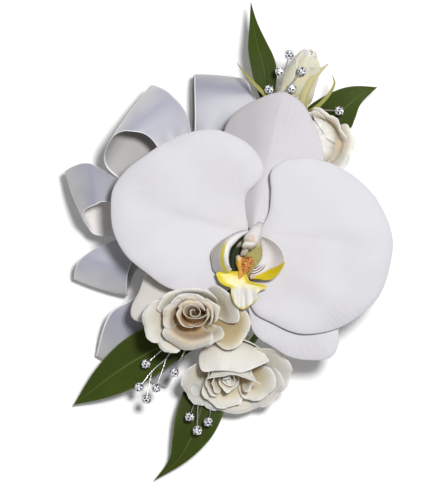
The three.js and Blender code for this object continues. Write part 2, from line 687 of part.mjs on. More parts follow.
function addLeaves() {
  addLeaf({
    name: "leaf_top",
    slot: endSlot(1, 60, BEND_GAP),
    bend: aboveBundle(3, 32, 2.5),
    base: aboveBundle(3.6, 39, 2),
    tip: aboveBundle(-2.2, 72.3, -4),
    halfWidth: 5.5,
    arch: 1.5,
  });
  addLeaf({
    name: "leaf_right",
    slot: endSlot(1, 265, BEND_GAP),
    bend: aboveBundle(6, 30, -7),
    base: aboveBundle(14, 34.5, -8.8),
    tip: aboveBundle(38.4, 45.4, -5.5),
    halfWidth: 8,
    arch: 1,
  });
  addLeaf({
    name: "leaf_left",
    slot: endSlot(-1, 205, BEND_GAP),
    bend: aboveBundle(-12, -33, -4.5),
    base: aboveBundle(-20, -38, -5),
    tip: aboveBundle(-59.5, -57, -13),
    halfWidth: 8.5,
    arch: 4,
  });
  addLeaf({
    name: "leaf_bottom",
    slot: endSlot(-1, 265, BEND_GAP),
    bend: aboveBundle(-11, -40, -7),
    base: aboveBundle(-17, -49, -8),
    tip: aboveBundle(-33.3, -81.3, -14),
    halfWidth: 8.5,
    arch: 3,
  });
}

// Ribbon bow

// A loop leaves the knot, runs out to its fold and comes back underneath. Each rib is a line across the
// ribbon from its one edge to its other: two on the upper layer, one at the fold, two on the lower layer.
function ribbonLoop(rootRise, ribs) {
  const knot = aboveBundle(KNOT_X, KNOT_Y, rootRise);
  const [edgeA, edgeB] = [0, 1].map((edge) => {
    const rootAt = (rib, height) => {
      const away = rib[0].clone().add(rib[1]).multiplyScalar(0.5).sub(knot).setZ(0).normalize();
      const across = rib[1].clone().sub(rib[0]).setZ(0).projectOnPlane(away).setLength(RIBBON_PINCH / 2);
      const root = knot.clone().addScaledVector(away, KNOT_RADIUS + SEAT_GAP * 2);
      return root.addScaledVector(across, edge === 0 ? -1 : 1).setZ(knot.z + height);
    };
    const points = ribs.map((rib) => rib[edge]);
    const [first, last] = [rootAt(ribs[0], LAYER_SPLIT), rootAt(ribs.at(-1), -LAYER_SPLIT)];
    return new THREE.CatmullRomCurve3([first, ...points, last]);
  });
  return sheet((t, v) => edgeA.getPoint(t).lerp(edgeB.getPoint(t), (1 + v) / 2), 24, 3, RIBBON_THICKNESS);
}

function addBow() {
  const knot = turned(
    [
      [0, -KNOT_BELOW],
      [KNOT_RADIUS, -KNOT_BELOW],
      [KNOT_RADIUS, KNOT_ABOVE],
      [0, KNOT_ABOVE],
    ],
    KNOT_SIDES,
  ).translate(KNOT_X, KNOT_Y, bundleZ);
  const stemX = -BUNDLE_RADIUS - SEAT_GAP;
  const route = [aboveBundle(stemX, KNOT_Y, 0), aboveBundle(KNOT_X, KNOT_Y, 0)];
  const stem = bar(route, STEM_RADIUS, STEM_SIDES, 2);
  addMesh(corsage, "bow_wire", join([knot, stem]), bowWire);
  const loops = [
    [0.5, [
      [aboveBundle(-20.5, 31, -2), aboveBundle(-1.6, 37, -3.5)],
      [aboveBundle(-20.6, 46.1, -4), aboveBundle(-2.2, 44.8, -4.5)],
      [aboveBundle(-20.7, 49.8, -8.5), aboveBundle(-3.8, 48.2, -9)],
      [aboveBundle(-21.3, 46.1, -12.5), aboveBundle(-2.6, 44.2, -12.5)],
      [aboveBundle(-21.4, 35.2, -11), aboveBundle(-2.2, 37, -11)],
    ]],
    [6.6, [
      [aboveBundle(-32.8, 26.7, 10.5), aboveBundle(-21.8, 33, 5)],
      [aboveBundle(-41, 30.9, 12), aboveBundle(-27.5, 42.7, 4.5)],
      [aboveBundle(-46.9, 29.3, 8), aboveBundle(-33.9, 45.9, -0.5)],
      [aboveBundle(-49.3, 23.4, 1), aboveBundle(-33.9, 43.5, -4.5)],
      [aboveBundle(-44, 18.2, 0), aboveBundle(-26.6, 33.9, -4)],
    ]],
    [2.9, [
      [aboveBundle(-46.7, 8, 6), aboveBundle(-44.8, 15.6, 0.5)],
      [aboveBundle(-52.2, 7.4, 7), aboveBundle(-54.4, 21, 0)],
      [aboveBundle(-56.2, 4.8, 3), aboveBundle(-61.8, 18.9, -5)],
      [aboveBundle(-55, 0.6, -3), aboveBundle(-60.2, 16.6, -9)],
      [aboveBundle(-49.3, -2.6, -4), aboveBundle(-50.6, 16, -8)],
    ]],
    [0.5, [
      [aboveBundle(-37.8, -8, -2), aboveBundle(-46, -5.2, -4.5)],
      [aboveBundle(-41.6, -13.8, -1.5), aboveBundle(-55.7, -10.2, -5)],
      [aboveBundle(-42.2, -21.1, -9), aboveBundle(-58.6, -16.3, -10.5)],
      [aboveBundle(-41.3, -19.5, -12.5), aboveBundle(-57, -15.7, -13)],
      [aboveBundle(-38.4, -12.8, -5.5), aboveBundle(-49.3, -8.3, -7)],
    ]],
    [-1.5, [
      [aboveBundle(-20.8, -31, -7.5), aboveBundle(-37.8, -20.2, -5.5)],
      [aboveBundle(-25, -43.5, -9.5), aboveBundle(-48, -27.5, -7)],
      [aboveBundle(-29.4, -51.2, -13), aboveBundle(-52.3, -40.3, -13)],
      [aboveBundle(-27.5, -48.6, -15), aboveBundle(-50.9, -38.4, -15)],
      [aboveBundle(-20.8, -32.6, -8.8), aboveBundle(-38.4, -21.8, -8.5)],
    ]],
  ];
  loops.forEach(([rootRise, ribs], i) => {
    addMesh(corsage, `ribbon_loop_${i + 1}`, ribbonLoop(rootRise, ribs), satin);
  });
}

// Rhinestone sprays

// A stone in its cup: a faceted crown over a cone.
function stone(centre) {
  const profile = [
    [0, -STONE_RADIUS * 0.9],
    [STONE_RADIUS * 0.6, -STONE_RADIUS * 0.6],
    [STONE_RADIUS, 0],
    [STONE_RADIUS, STONE_RADIUS * 0.25],
    [STONE_RADIUS * 0.6, STONE_RADIUS * 0.7],
    [0, STONE_RADIUS * 0.7],
  ];
  return turned(profile, STONE_FACETS).translate(centre.x, centre.y, centre.z);
}

// Wires from one root, each ending in a stone.
function spray(root, trunk, twigs) {
  const wires = [bar([root, ...trunk], SPRAY_WIRE_RADIUS, SPRAY_WIRE_SIDES, 6)];
  for (const twig of twigs) {
    wires.push(bar(twig, SPRAY_WIRE_RADIUS, SPRAY_WIRE_SIDES, 2), stone(twig.at(-1)));
  }
  return join(wires);
}

function addSprays() {
  const left = [aboveBundle(-12, -34.5, 1.5), aboveBundle(-26.5, -39, -1)];
  const leftFork = left.at(-1);
  const leftBend = aboveBundle(-33.9, -45.8, -1);
  addMesh(corsage, "spray_left", spray(endSlot(-1, 160, BEND_GAP), left, [
    [leftFork, aboveBundle(-36, -43.7, 0)],
    [leftFork, aboveBundle(-32.8, -51.4, -0.5)],
    [leftFork, leftBend, aboveBundle(-38.2, -51.2, -0.5)],
    [leftBend, aboveBundle(-35.9, -55.1, -0.5)],
    [leftFork, aboveBundle(-26.9, -46.4, 0)],
  ]), silver);
  const bottom = [aboveBundle(-3, -30, 1.5), aboveBundle(-13.5, -42, -2.5), aboveBundle(-19, -54, -2.5)];
  const bottomFork = bottom.at(-1);
  addMesh(corsage, "spray_bottom", spray(endSlot(-1, 90, BEND_GAP), bottom, [
    [bottomFork, aboveBundle(-22, -60.8, -1.5)],
    [bottomFork, aboveBundle(-19.5, -65.2, -1.5)],
    [bottomFork, aboveBundle(-16, -62.4, -1.5)],
  ]), silver);
  const top = [aboveBundle(3, 33, 8.5), aboveBundle(6, 40.5, 10.5)];
  addMesh(corsage, "spray_top", spray(endSlot(1, 110, BEND_GAP), top, [
    [top[1], aboveBundle(3.5, 44.3, 11)],
    [top[1], aboveBundle(6.9, 50.1, 12)],
    [top[1], aboveBundle(9.9, 55.4, 12.5)],
    [top[1], aboveBundle(14, 50.2, 12.5)],
    [top[1], aboveBundle(10.8, 44.6, 11)],
  ]), silver);
  const right = [aboveBundle(9, 30, -3.6), aboveBundle(19, 38.2, -2.5)];
  addMesh(corsage, "spray_right", spray(endSlot(1, 315, BEND_GAP), right, [
    [right[1], aboveBundle(26.2, 37.8, 0)],
  ]), silver);
}

addWristband();
addClip();
addBundle();
addOrchid();
addRoses();
addBud();
addLeaves();
addBow();
addSprays();

export default corsage;
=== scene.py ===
"""Dresses a wrist corsage: an orchid, roses, leaves, satin loops and stone sprays on an elastic wristlet."""

import logging
import math
from dataclasses import dataclass
from enum import Enum
from typing import Callable, Sequence

import bmesh
import bpy
from mathutils import Euler, Matrix, Vector
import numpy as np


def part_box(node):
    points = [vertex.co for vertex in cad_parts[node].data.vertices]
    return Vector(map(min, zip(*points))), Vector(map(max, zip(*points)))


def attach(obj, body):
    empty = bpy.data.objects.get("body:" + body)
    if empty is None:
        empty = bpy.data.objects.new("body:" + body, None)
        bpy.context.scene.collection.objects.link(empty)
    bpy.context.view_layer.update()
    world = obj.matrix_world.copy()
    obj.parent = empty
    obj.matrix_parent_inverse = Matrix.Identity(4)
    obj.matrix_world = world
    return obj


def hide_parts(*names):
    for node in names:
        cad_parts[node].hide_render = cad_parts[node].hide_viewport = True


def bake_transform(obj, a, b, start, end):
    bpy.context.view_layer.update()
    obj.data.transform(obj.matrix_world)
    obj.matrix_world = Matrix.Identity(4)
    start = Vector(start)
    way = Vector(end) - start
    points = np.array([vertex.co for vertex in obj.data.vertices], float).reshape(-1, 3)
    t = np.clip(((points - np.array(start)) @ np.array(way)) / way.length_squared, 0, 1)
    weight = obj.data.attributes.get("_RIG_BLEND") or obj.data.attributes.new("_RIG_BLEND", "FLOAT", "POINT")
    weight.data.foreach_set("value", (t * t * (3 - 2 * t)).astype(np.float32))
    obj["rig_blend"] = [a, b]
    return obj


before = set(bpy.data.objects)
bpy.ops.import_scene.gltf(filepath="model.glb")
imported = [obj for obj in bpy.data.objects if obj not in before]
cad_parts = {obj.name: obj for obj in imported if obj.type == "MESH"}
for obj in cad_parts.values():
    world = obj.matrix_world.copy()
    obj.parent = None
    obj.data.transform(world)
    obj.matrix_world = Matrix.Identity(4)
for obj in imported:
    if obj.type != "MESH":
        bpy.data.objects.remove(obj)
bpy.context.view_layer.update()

MM = 0.001
UP = Vector((0, 0, 1))
LOG = logging.getLogger("corsage")

Colour = tuple[float, float, float]
Flat = tuple[float, float]
Point = tuple[float, float, float]
Line = tuple[Point, ...]
Rib = tuple[Point, Point]
Spot = Callable[[float, float], Vector]
Chart = Callable[[float, float], Flat]
Width = Callable[[float], float]
Value = float | Vector
Material = bpy.types.Material
Socket = bpy.types.NodeSocket


class Body(Enum):
    """Bodies of the frame that pieces ride on."""

    CORSAGE = "corsage"
    BAND_LOWER = "band_lower"
    LEAF_TOP = "leaf_top"
    LEAF_RIGHT = "leaf_right"
    LEAF_LEFT = "leaf_left"
    LEAF_BOTTOM = "leaf_bottom"
    STONES_LEFT = "stones_left"
    STONES_BOTTOM = "stones_bottom"
    STONES_TOP = "stones_top"
    STONES_RIGHT = "stones_right"


class Slot(Enum):
    """Material slots of the record."""

    ELASTIC = "elastic"
    TAPE = "floral_tape"
    ORCHID = "orchid_white"
    LIP = "lip_yellow"
    COLUMN = "column_white"
    ROSE = "rose_cream"
    CALYX = "calyx_green"
    LEAF = "leaf_green"
    SATIN = "satin"
    STONE = "rhinestone"


class Side(Enum):
    """Left or right of the bloom, as the sign of its own X."""

    LEFT = -1
    RIGHT = 1


# Curves and outlines


def smooth_step(low: float, high: float, value: float) -> float:
    """Rises smoothly from 0 at low to 1 at high.

    Args:
        low: Where the rise starts.
        high: Where the rise ends.
        value: Where it is read.

    Returns:
        A share from 0 to 1.
    """
    share = min(1.0, max(0.0, (value - low) / (high - low)))
    return share * share * (3 - 2 * share)


def hermite(first: Value, slope_a: Value, second: Value, slope_b: Value, part: float) -> Value:
    """Joins two numbers or two vectors smoothly.

    Args:
        first: The value at 0.
        slope_a: Its slope there.
        second: The value at 1.
        slope_b: Its slope there.
        part: How far between the two, from 0 to 1.

    Returns:
        The value there.
    """
    square, cube = part * part, part * part * part
    start = first * (2 * cube - 3 * square + 1) + slope_a * (cube - 2 * square + part)
    return start + second * (3 * square - 2 * cube) + slope_b * (cube - square)


def vectors(points: Sequence[Sequence[float]]) -> list[Vector]:
    """Turns points into vectors."""
    return [Vector(p) for p in points]


def spline(points: Sequence[Vector], share: float) -> Vector:
    """Reads a smooth curve through points.

    Args:
        points: Points that the curve passes through, in order.
        share: How far along, from 0 to 1.

    Returns:
        The point on the curve.
    """
    last = len(points) - 1
    at = min(max(share, 0.0), 1.0) * last
    index = min(int(at), last - 1)
    here, there = points[index], points[index + 1]
    before = points[index - 1] if index > 0 else here * 2 - there
    after = points[index + 2] if index + 2 <= last else there * 2 - here
    return hermite(here, (there - before) / 2, there, (after - here) / 2, at - index)


def value_along(stops: Sequence[Flat], share: float) -> float:
    """Reads a smooth curve of values.

    Args:
        stops: Pairs of place and value, in order of place.
        share: The place to read.

    Returns:
        The value there.
    """
    for (low, first), (high, second) in zip(stops, stops[1:]):
        if share <= high:
            return first + (second - first) * smooth_step(low, high, share)
    return stops[-1][1]


@dataclass(frozen=True)
class Outline:
    """A petal's edge as points round a centre, in millimetres."""

    centre: Flat
    points: tuple[Flat, ...]

    def polar(self) -> list[Flat]:
        """Gives each point's angle and distance from the centre, by angle."""
        steps = [(x - self.centre[0], y - self.centre[1]) for x, y in self.points]
        return sorted((math.atan2(y, x), math.hypot(x, y)) for x, y in steps)

    def radius(self, angle: float) -> float:
        """Reads the smooth edge.

        Args:
            angle: Direction from the centre, in radians.

        Returns:
            The distance to the edge in that direction.
        """
        edge = self.polar()
        full = 2 * math.pi
        ring = [(a - full, r) for a, r in edge[-2:]] + edge + [(a + full, r) for a, r in edge[:2]]
        for i in range(1, len(ring) - 2):
            (a0, r0), (a1, r1) = ring[i], ring[i + 1]
            if a0 <= angle <= a1:
                span = a1 - a0
                slope0 = (r1 - ring[i - 1][1]) / (a1 - ring[i - 1][0]) * span
                slope1 = (ring[i + 2][1] - r0) / (ring[i + 2][0] - a0) * span
                return hermite(r0, slope0, r1, slope1, (angle - a0) / span)
        return edge[0][1]

    def inside(self, u: float, v: float) -> Flat:
        """Bends a square onto the outline, without a pole.

        Args:
            u: Place across the square, from 0 to 1.
            v: Place along it, from -1 to 1.

        Returns:
            The point in millimetres.
        """
        across = 2 * u - 1
        x = across * math.sqrt(1 - v * v / 2)
        y = v * math.sqrt(1 - across * across / 2)
        angle = math.atan2(y, x)
        reach = math.hypot(x, y) * self.radius(angle)
        return self.centre[0] + reach * math.cos(angle), self.centre[1] + reach * math.sin(angle)


def to_rim(u: float, v: float) -> float:
    """Gives how far a place of an outline's square is from its middle, with 1 at the rim."""
    return max(abs(2 * u - 1), abs(v))


@dataclass(frozen=True)
class Fan:
    """An outline's points by their distance and angle from a claw."""

    outline: Outline
    claw: Flat
    axis: float
    reach: float

    def polar(self, u: float, v: float) -> tuple[float, float, float, float]:
        """Places one point.

        Args:
            u: Place across the outline, from 0 to 1.
            v: Place along it, from -1 to 1.

        Returns:
            X, Y, the distance from the claw as a share of the reach, and the angle from the axis.
        """
        x, y = self.outline.inside(u, v)
        dx, dy = x - self.claw[0], y - self.claw[1]
        angle = (math.atan2(dy, dx) - self.axis + math.pi) % (2 * math.pi) - math.pi
        return x, y, math.hypot(dx, dy) / self.reach, angle

    def chart(self, u: float, v: float) -> Flat:
        """Maps the angle at the claw and the distance from it."""
        _, _, away, angle = self.polar(u, v)
        return 0.5 + angle / math.pi, away


# Meshes and pieces


class SheetMesh:
    """Grids bent into petals, blades, ribbons and tubes, gathered in one mesh."""

    SEAM = 1e-6

    def __init__(self) -> None:
        """Starts an empty mesh with a UV map."""
        self.bm = bmesh.new()
        self.uv = self.bm.loops.layers.uv.new("UVMap")

    def add(
        self, spot: Spot, columns: int, rows: int, chart: Chart | None = None, material: int = 0
    ) -> "SheetMesh":
        """Adds one bent grid.

        Args:
            spot: Gives the point in millimetres for u, from 0 to 1, and v, from -1 to 1.
            columns: Faces along u.
            rows: Faces along v.
            chart: Gives the UV of a place, or v across and u along where it is left out.
            material: The faces' material index.

        Returns:
            This mesh.
        """
        made = bmesh.ops.create_grid(self.bm, x_segments=columns, y_segments=rows, size=1.0)
        places = {vert: (0.5 + vert.co.x / 2, vert.co.y) for vert in made["verts"]}
        for vert, (u, v) in places.items():
            vert.co = spot(u, v) * MM
        for face in {face for vert in places for face in vert.link_faces}:
            face.smooth = True
            face.material_index = material
            for loop in face.loops:
                u, v = places[loop.vert]
                loop[self.uv].uv = chart(u, v) if chart else (0.5 + v / 2, u)
        return self

    def seal(self, before: set[bmesh.types.BMVert], gap: float) -> None:
        """Joins the seam of a rolled grid and closes its two ends.

        Args:
            before: The mesh's corners from before the grid.
            gap: How near the corners along the seam lie, in metres.
        """
        verts = [vert for vert in self.bm.verts if vert not in before]
        bmesh.ops.remove_doubles(self.bm, verts=verts, dist=gap)
        edges = [edge for edge in self.bm.edges if edge.is_boundary and edge.verts[0] not in before]
        bmesh.ops.holes_fill(self.bm, edges=edges, sides=0)

    def tube(self, points: Sequence[Vector], radius: Width, steps: int, sides: int) -> "SheetMesh":
        """Adds a closed round tube along a smooth curve.

        Args:
            points: Points on the curve, in millimetres.
            radius: Gives the radius for a share of the length.
            steps: Faces along the tube.
            sides: Faces round the tube.

        Returns:
            This mesh.
        """
        near, steep = 0.01, 0.95

        def spot(u: float, v: float) -> Vector:
            """Places one corner of the tube's wall."""
            here = spline(points, u)
            ahead = (spline(points, u + near) - spline(points, u - near)).normalized()
            side = ahead.cross(UP if abs(ahead.z) < steep else Vector((1, 0, 0))).normalized()
            lift = side.cross(ahead)
            angle = v * math.pi
            return here + (side * math.cos(angle) + lift * math.sin(angle)) * radius(u)

        before = set(self.bm.verts)
        self.add(spot, steps, sides)
        self.seal(before, self.SEAM)
        return self

    def moved(self, matrix: Matrix) -> "SheetMesh":
        """Moves all of the mesh by a matrix in metres and gives it back."""
        bmesh.ops.transform(self.bm, matrix=matrix, verts=self.bm.verts)
        return self


@dataclass(frozen=True)
class Place:
    """A finished piece's slot, the node that it stands for and the body that it rides on."""

    slot: Slot
    node: str = ""
    body: Body = Body.CORSAGE


def linked(name: str, bm: bmesh.types.BMesh, finishes: Sequence[Material]) -> bpy.types.Object:
    """Turns a bmesh into an object of the scene.

    Args:
        name: The object's name.
        bm: Its mesh, which is freed.
        finishes: Its materials, by index.

    Returns:
        The object.
    """
    bmesh.ops.recalc_face_normals(bm, faces=bm.faces)
    mesh = bpy.data.meshes.new(name)
    bm.to_mesh(mesh)
    bm.free()
    for finish in finishes:
        mesh.materials.append(finish)
    piece = bpy.data.objects.new(name, mesh)
    bpy.context.scene.collection.objects.link(piece)
    return piece


def thicken(piece: bpy.types.Object, thickness: float) -> None:
    """Gives a sheet its wall and rounds its rim.

    Args:
        piece: The sheet.
        thickness: Its wall in millimetres.
    """
    wall = piece.modifiers.new("wall", "SOLIDIFY")
    wall.thickness = thickness * MM
    wall.offset = 0.0
    rounding = piece.modifiers.new("rounding", "SUBSURF")
    rounding.levels = 1
    rounding.render_levels = 1


def settle(piece: bpy.types.Object, place: Place) -> None:
    """Puts a piece on its body and hides the node that it stands for.

    Args:
        piece: The finished piece.
        place: Its slot, node and body.
    """
    if piece.get("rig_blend") is None:
        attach(piece, place.body.value)
    if place.node:
        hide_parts(place.node)
    LOG.info("%s rides on %s", piece.name, place.body.value)


def dress(
    name: str, bm: bmesh.types.BMesh, finishes: Sequence[Material], place: Place, wall: float = 0.0
) -> bpy.types.Object:
    """Turns a bmesh into a finished piece on its body.

    Args:
        name: The piece's name.
        bm: Its mesh, which is freed.
        finishes: Its materials, by index.
        place: Its slot, node and body.
        wall: Its wall in millimetres, where it is a sheet.

    Returns:
        The piece.
    """
    piece = linked(name, bm, finishes)
    if wall:
        thicken(piece, wall)
    settle(piece, place)
    return piece


# Finishes


class Shader:
    """A material's nodes, with short ways to add and link them."""

    FRAY = {"Detail": 2.0, "Detail Scale": 1.5}

    def __init__(self, name: str) -> None:
        """Starts a material with its shader."""
        self.material = bpy.data.materials.new(name)
        self.material.use_nodes = True
        self.tree = self.material.node_tree
        self.surface = self.tree.nodes["Principled BSDF"]

    def put(self, node: bpy.types.Node, key: int | str, value: object) -> None:
        """Sets an input to a number or colour, or links it to a socket.

        Args:
            node: The node.
            key: Its input, by name or number.
            value: The number, colour or socket.
        """
        socket = node.inputs[key]
        if isinstance(value, Socket):
            self.tree.links.new(value, socket)
        elif isinstance(value, tuple) and socket.type == "RGBA":
            socket.default_value = (*value, 1.0)
        else:
            socket.default_value = value

    def node(self, kind: str, inputs: dict[int | str, object], **settings: object) -> bpy.types.Node:
        """Adds a node.

        Args:
            kind: The node's type.
            inputs: Values or sockets by input.
            settings: The node's own properties.

        Returns:
            The node.
        """
        made = self.tree.nodes.new(kind)
        for key, value in settings.items():
            setattr(made, key, value)
        for key, value in inputs.items():
            self.put(made, key, value)
        return made

    def base(self, **values: object) -> None:
        """Sets inputs of the shader, with a name's spaces as underscores."""
        for key, value in values.items():
            self.put(self.surface, key.replace("_", " "), value)

    def coords(self, name: str, scale: Point = (1, 1, 1)) -> Socket:
        """Gives Object or UV coordinates, with the pattern repeated by scale."""
        source = self.node("ShaderNodeTexCoord", {}).outputs[name]
        return self.node("ShaderNodeMapping", {"Vector": source, "Scale": scale}).outputs["Vector"]

    def axes(self) -> tuple[Socket, Socket]:
        """Gives the UV map's two values as sockets."""
        parts = self.node("ShaderNodeSeparateXYZ", {"Vector": self.coords("UV")})
        return parts.outputs["X"], parts.outputs["Y"]

    def math(self, operation: str, *values: object) -> Socket:
        """Adds a sum of one to three values and gives its result."""
        return self.node("ShaderNodeMath", dict(enumerate(values)), operation=operation).outputs[0]

    def times(self, first: object, second: object) -> Socket:
        """Multiplies two values."""
        return self.math("MULTIPLY", first, second)

    def weigh(self, first: Socket, share: float, second: Socket, other: float) -> Socket:
        """Adds two values, each times its own weight."""
        return self.math("MULTIPLY_ADD", first, share, self.times(second, other))

    def stray(self, value: Socket, noise: Socket, reach: float) -> Socket:
        """Moves a value to and fro by a noise."""
        return self.math("MULTIPLY_ADD", self.math("SUBTRACT", noise, 0.5), reach, value)

    def off_middle(self, across: Socket) -> Socket:
        """Gives 0 in the middle of a strip and 1 at both its edges."""
        return self.math("ABSOLUTE", self.math("SUBTRACT", self.times(across, 2.0), 1.0))

    def away(self, centre: Point) -> Socket:
        """Gives the distance from a point in millimetres, as metres."""
        inputs = {0: self.coords("Object"), 1: tuple(c * MM for c in centre)}
        return self.node("ShaderNodeVectorMath", inputs, operation="DISTANCE").outputs["Value"]

    def ramp(self, share: Socket, stops: Sequence[tuple[float, Colour]]) -> Socket:
        """Gives colours along a share.

        Args:
            share: The place along the ramp.
            stops: Places and their colours, in order.

        Returns:
            The colour socket.
        """
        made = self.node("ShaderNodeValToRGB", {0: share})
        elements = made.color_ramp.elements
        while len(elements) < len(stops):
            elements.new(0.5)
        for element, (place, colour) in zip(elements, stops):
            element.position = place
            element.color = (*colour, 1.0)
        return made.outputs["Color"]

    def mask(self, share: Socket, low: float, high: float) -> Socket:
        """Gives a smooth rise from 0 at low to 1 at high, or a fall where low is the larger."""
        inputs = {"Value": share, "From Min": low, "From Max": high}
        return self.node("ShaderNodeMapRange", inputs, interpolation_type="SMOOTHSTEP").outputs["Result"]

    def mix(self, share: object, first: object, second: object) -> Socket:
        """Mixes two colours by a share and gives the colour socket."""
        inputs = {0: share, 6: first, 7: second}
        return self.node("ShaderNodeMix", inputs, data_type="RGBA").outputs[2]

    def noise(self, scale: float, detail: float = 3.0, vector: Socket | None = None) -> Socket:
        """Gives a noise value, in Object coordinates where no vector is given."""
        inputs = {"Vector": vector or self.coords("Object"), "Scale": scale, "Detail": detail}
        return self.node("ShaderNodeTexNoise", inputs).outputs[0]

    def waves(self, vector: Socket, scale: float, distortion: float) -> Socket:
        """Gives soft bands across the vector's X."""
        inputs = {"Vector": vector, "Scale": scale, "Distortion": distortion, **self.FRAY}
        return self.node("ShaderNodeTexWave", inputs, bands_direction="X").outputs["Fac"]

    def bump(self, height: Socket, strength: float, depth: float) -> None:
        """Raises the surface by a height, by a share of a full depth in millimetres."""
        inputs = {"Height": height, "Strength": strength, "Distance": depth * MM}
        self.base(Normal=self.node("ShaderNodeBump", inputs).outputs["Normal"])


class Finish:
    """What the finishes share: each paints its own look on a new material of its name."""

    name: str

    def paint(self, s: Shader) -> None:
        """Sets the look, which every finish does in its own way."""
        raise NotImplementedError

    def build(self) -> Material:
        """Makes the material.

        Returns:
            The material.
        """
        s = Shader(self.name)
        self.paint(s)
        return s.material


@dataclass(frozen=True)
class OrchidFinish(Finish):
    """Cool white, velvety petal with faint veins that fan out from its claw, and one half in its side colour
    as painted shade across the sheet.
    """

    name: str
    white: Colour
    shade: Colour
    claw: Colour
    # Colour of one half of the sheet: painted shade where it is darker than white, as on the dorsal sepal.
    side: Colour
    veins: float = 22.0

    def paint(self, s: Shader) -> None:
        """Paints the petal.

        Args:
            s: The material's nodes.
        """
        across, along = s.axes()
        veins = s.waves(s.coords("UV", (1.0, 0.2, 1.0)), self.veins, 7.0)
        cloud = s.mask(s.noise(60.0), 0.35, 0.7)
        faint = s.times(veins, cloud)
        petal = s.mix(s.weigh(faint, 0.4, cloud, 0.3), self.white, self.shade)
        petal = s.mix(s.times(s.mask(along, 0.3, 0.0), 0.7), petal, self.claw)
        # One half takes the side colour: painted shade across the sheet.
        petal = s.mix(s.mask(across, 0.48, 0.58), petal, self.side)
        s.base(Base_Color=petal, Roughness=0.6, Specular_IOR_Level=0.25)
        s.base(Sheen_Weight=0.15, Sheen_Roughness=0.4)
        s.bump(s.weigh(faint, 0.4, s.noise(800.0, 4.0), 0.6), 0.16, 0.25)


@dataclass(frozen=True)
class LipFinish(Finish):
    """Waxy lip: white at its tip with yellow outlines, yellow at its wings, gold at its throat."""

    name: str = "orchid_lip"
    white: Colour = (0.74, 0.72, 0.68)
    pale: Colour = (0.72, 0.66, 0.34)
    yellow: Colour = (0.69, 0.56, 0.02)
    gold: Colour = (0.80, 0.58, 0.12)

    def paint(self, s: Shader) -> None:
        """Paints the lip.

        Args:
            s: The material's nodes.
        """
        reach, along = s.axes()
        tip = [(0.0, self.white), (0.5, self.white)]
        middle = s.ramp(along, [*tip, (0.68, self.pale), (0.95, self.gold)])
        rim = s.ramp(along, [*tip, (0.62, self.yellow), (0.95, self.yellow)])
        skin = s.mix(s.mask(reach, 0.35, 0.8), middle, rim)
        line = s.times(s.mask(reach, 0.9, 0.96), s.mask(along, 0.65, 0.5))
        skin = s.mix(s.times(line, 0.75), skin, self.yellow)
        s.base(Base_Color=skin, Roughness=0.42, Specular_IOR_Level=0.45)
        s.bump(s.noise(800.0), 0.3, 0.25)


@dataclass(frozen=True)
class CallusFinish(Finish):
    """Raised callus, orange under a red net, yellow along its left side and cream at its crest."""

    name: str = "orchid_callus"
    cream: Colour = (0.82, 0.72, 0.50)
    yellow: Colour = (0.80, 0.46, 0.06)
    orange: Colour = (0.72, 0.34, 0.07)
    red: Colour = (0.26, 0.045, 0.02)

    def paint(self, s: Shader) -> None:
        """Paints the callus.

        Args:
            s: The material's nodes.
        """
        across, along = s.axes()
        net = s.mask(s.noise(2300.0, 2.0), 0.47, 0.56)
        where = s.times(s.mask(along, 0.2, 0.45), s.mask(across, 0.2, 0.4))
        skin = s.mix(s.mask(across, 0.1, 0.35), self.yellow, self.orange)
        crest = s.times(s.mask(along, 0.7, 0.95), s.mask(across, 0.4, 0.15))
        skin = s.mix(crest, skin, self.cream)
        s.base(Base_Color=s.mix(s.times(net, where), skin, self.red))
        s.base(Roughness=0.4, Specular_IOR_Level=0.45)
        s.bump(net, 0.4, 0.2)


@dataclass(frozen=True)
class ThroatFinish(Finish):
    """Floor of the throat: dark green as painted shade in its left hollow, olive to the right and beige by
    the column.
    """

    name: str = "orchid_throat"
    # Colour of the left hollow: painted shade.
    dark: Colour = (0.022, 0.032, 0.014)
    olive: Colour = (0.36, 0.34, 0.12)
    speck: Colour = (0.30, 0.14, 0.05)
    beige: Colour = (0.52, 0.46, 0.34)

    def paint(self, s: Shader) -> None:
        """Paints the throat.

        Args:
            s: The material's nodes.
        """
        across, along = s.axes()
        specks = s.mask(s.noise(1700.0, 1.0), 0.6, 0.66)
        olive = s.mix(s.times(specks, 0.7), self.olive, self.speck)
        # The left part takes the dark colour: painted shade in the hollow under the left lobe.
        skin = s.mix(s.mask(across, 0.42, 0.6), self.dark, olive)
        s.base(Base_Color=s.mix(s.mask(along, 0.68, 0.82), skin, self.beige))
        s.base(Roughness=0.6, Specular_IOR_Level=0.08)
        s.bump(s.noise(900.0), 0.3, 0.2)


@dataclass(frozen=True)
class HoodFinish(Finish):
    """Left lobe: lilac grey outside, a white rim with a yellow margin, and dark green within as painted shade
    in its hollow.
    """

    name: str = "lip_lobe_hood"
    outside: Colour = (0.58, 0.55, 0.57)
    tint: Colour = (0.56, 0.53, 0.33)
    white: Colour = (0.79, 0.77, 0.765)
    yellow: Colour = (0.70, 0.59, 0.03)
    # Colour of the inner side: painted shade in the lobe's hollow.
    dark: Colour = (0.022, 0.032, 0.014)

    def paint(self, s: Shader) -> None:
        """Paints the lobe.

        Args:
            s: The material's nodes.
        """
        across, along = s.axes()
        outside = s.mix(s.mask(s.noise(350.0), 0.45, 0.65), self.outside, self.tint)
        skin = s.mix(s.mask(across, 0.24, 0.34), outside, self.white)
        margin = s.times(s.mask(across, 0.26, 0.33), s.mask(across, 0.48, 0.40))
        skin = s.mix(s.times(margin, s.mask(along, 0.25, 0.5)), skin, self.yellow)
        # The inner side takes the dark colour: painted shade in the hollow.
        s.base(Base_Color=s.mix(s.mask(across, 0.66, 0.72), skin, self.dark))
        s.base(Roughness=0.42, Specular_IOR_Level=0.4)
        s.bump(s.noise(700.0), 0.2, 0.2)


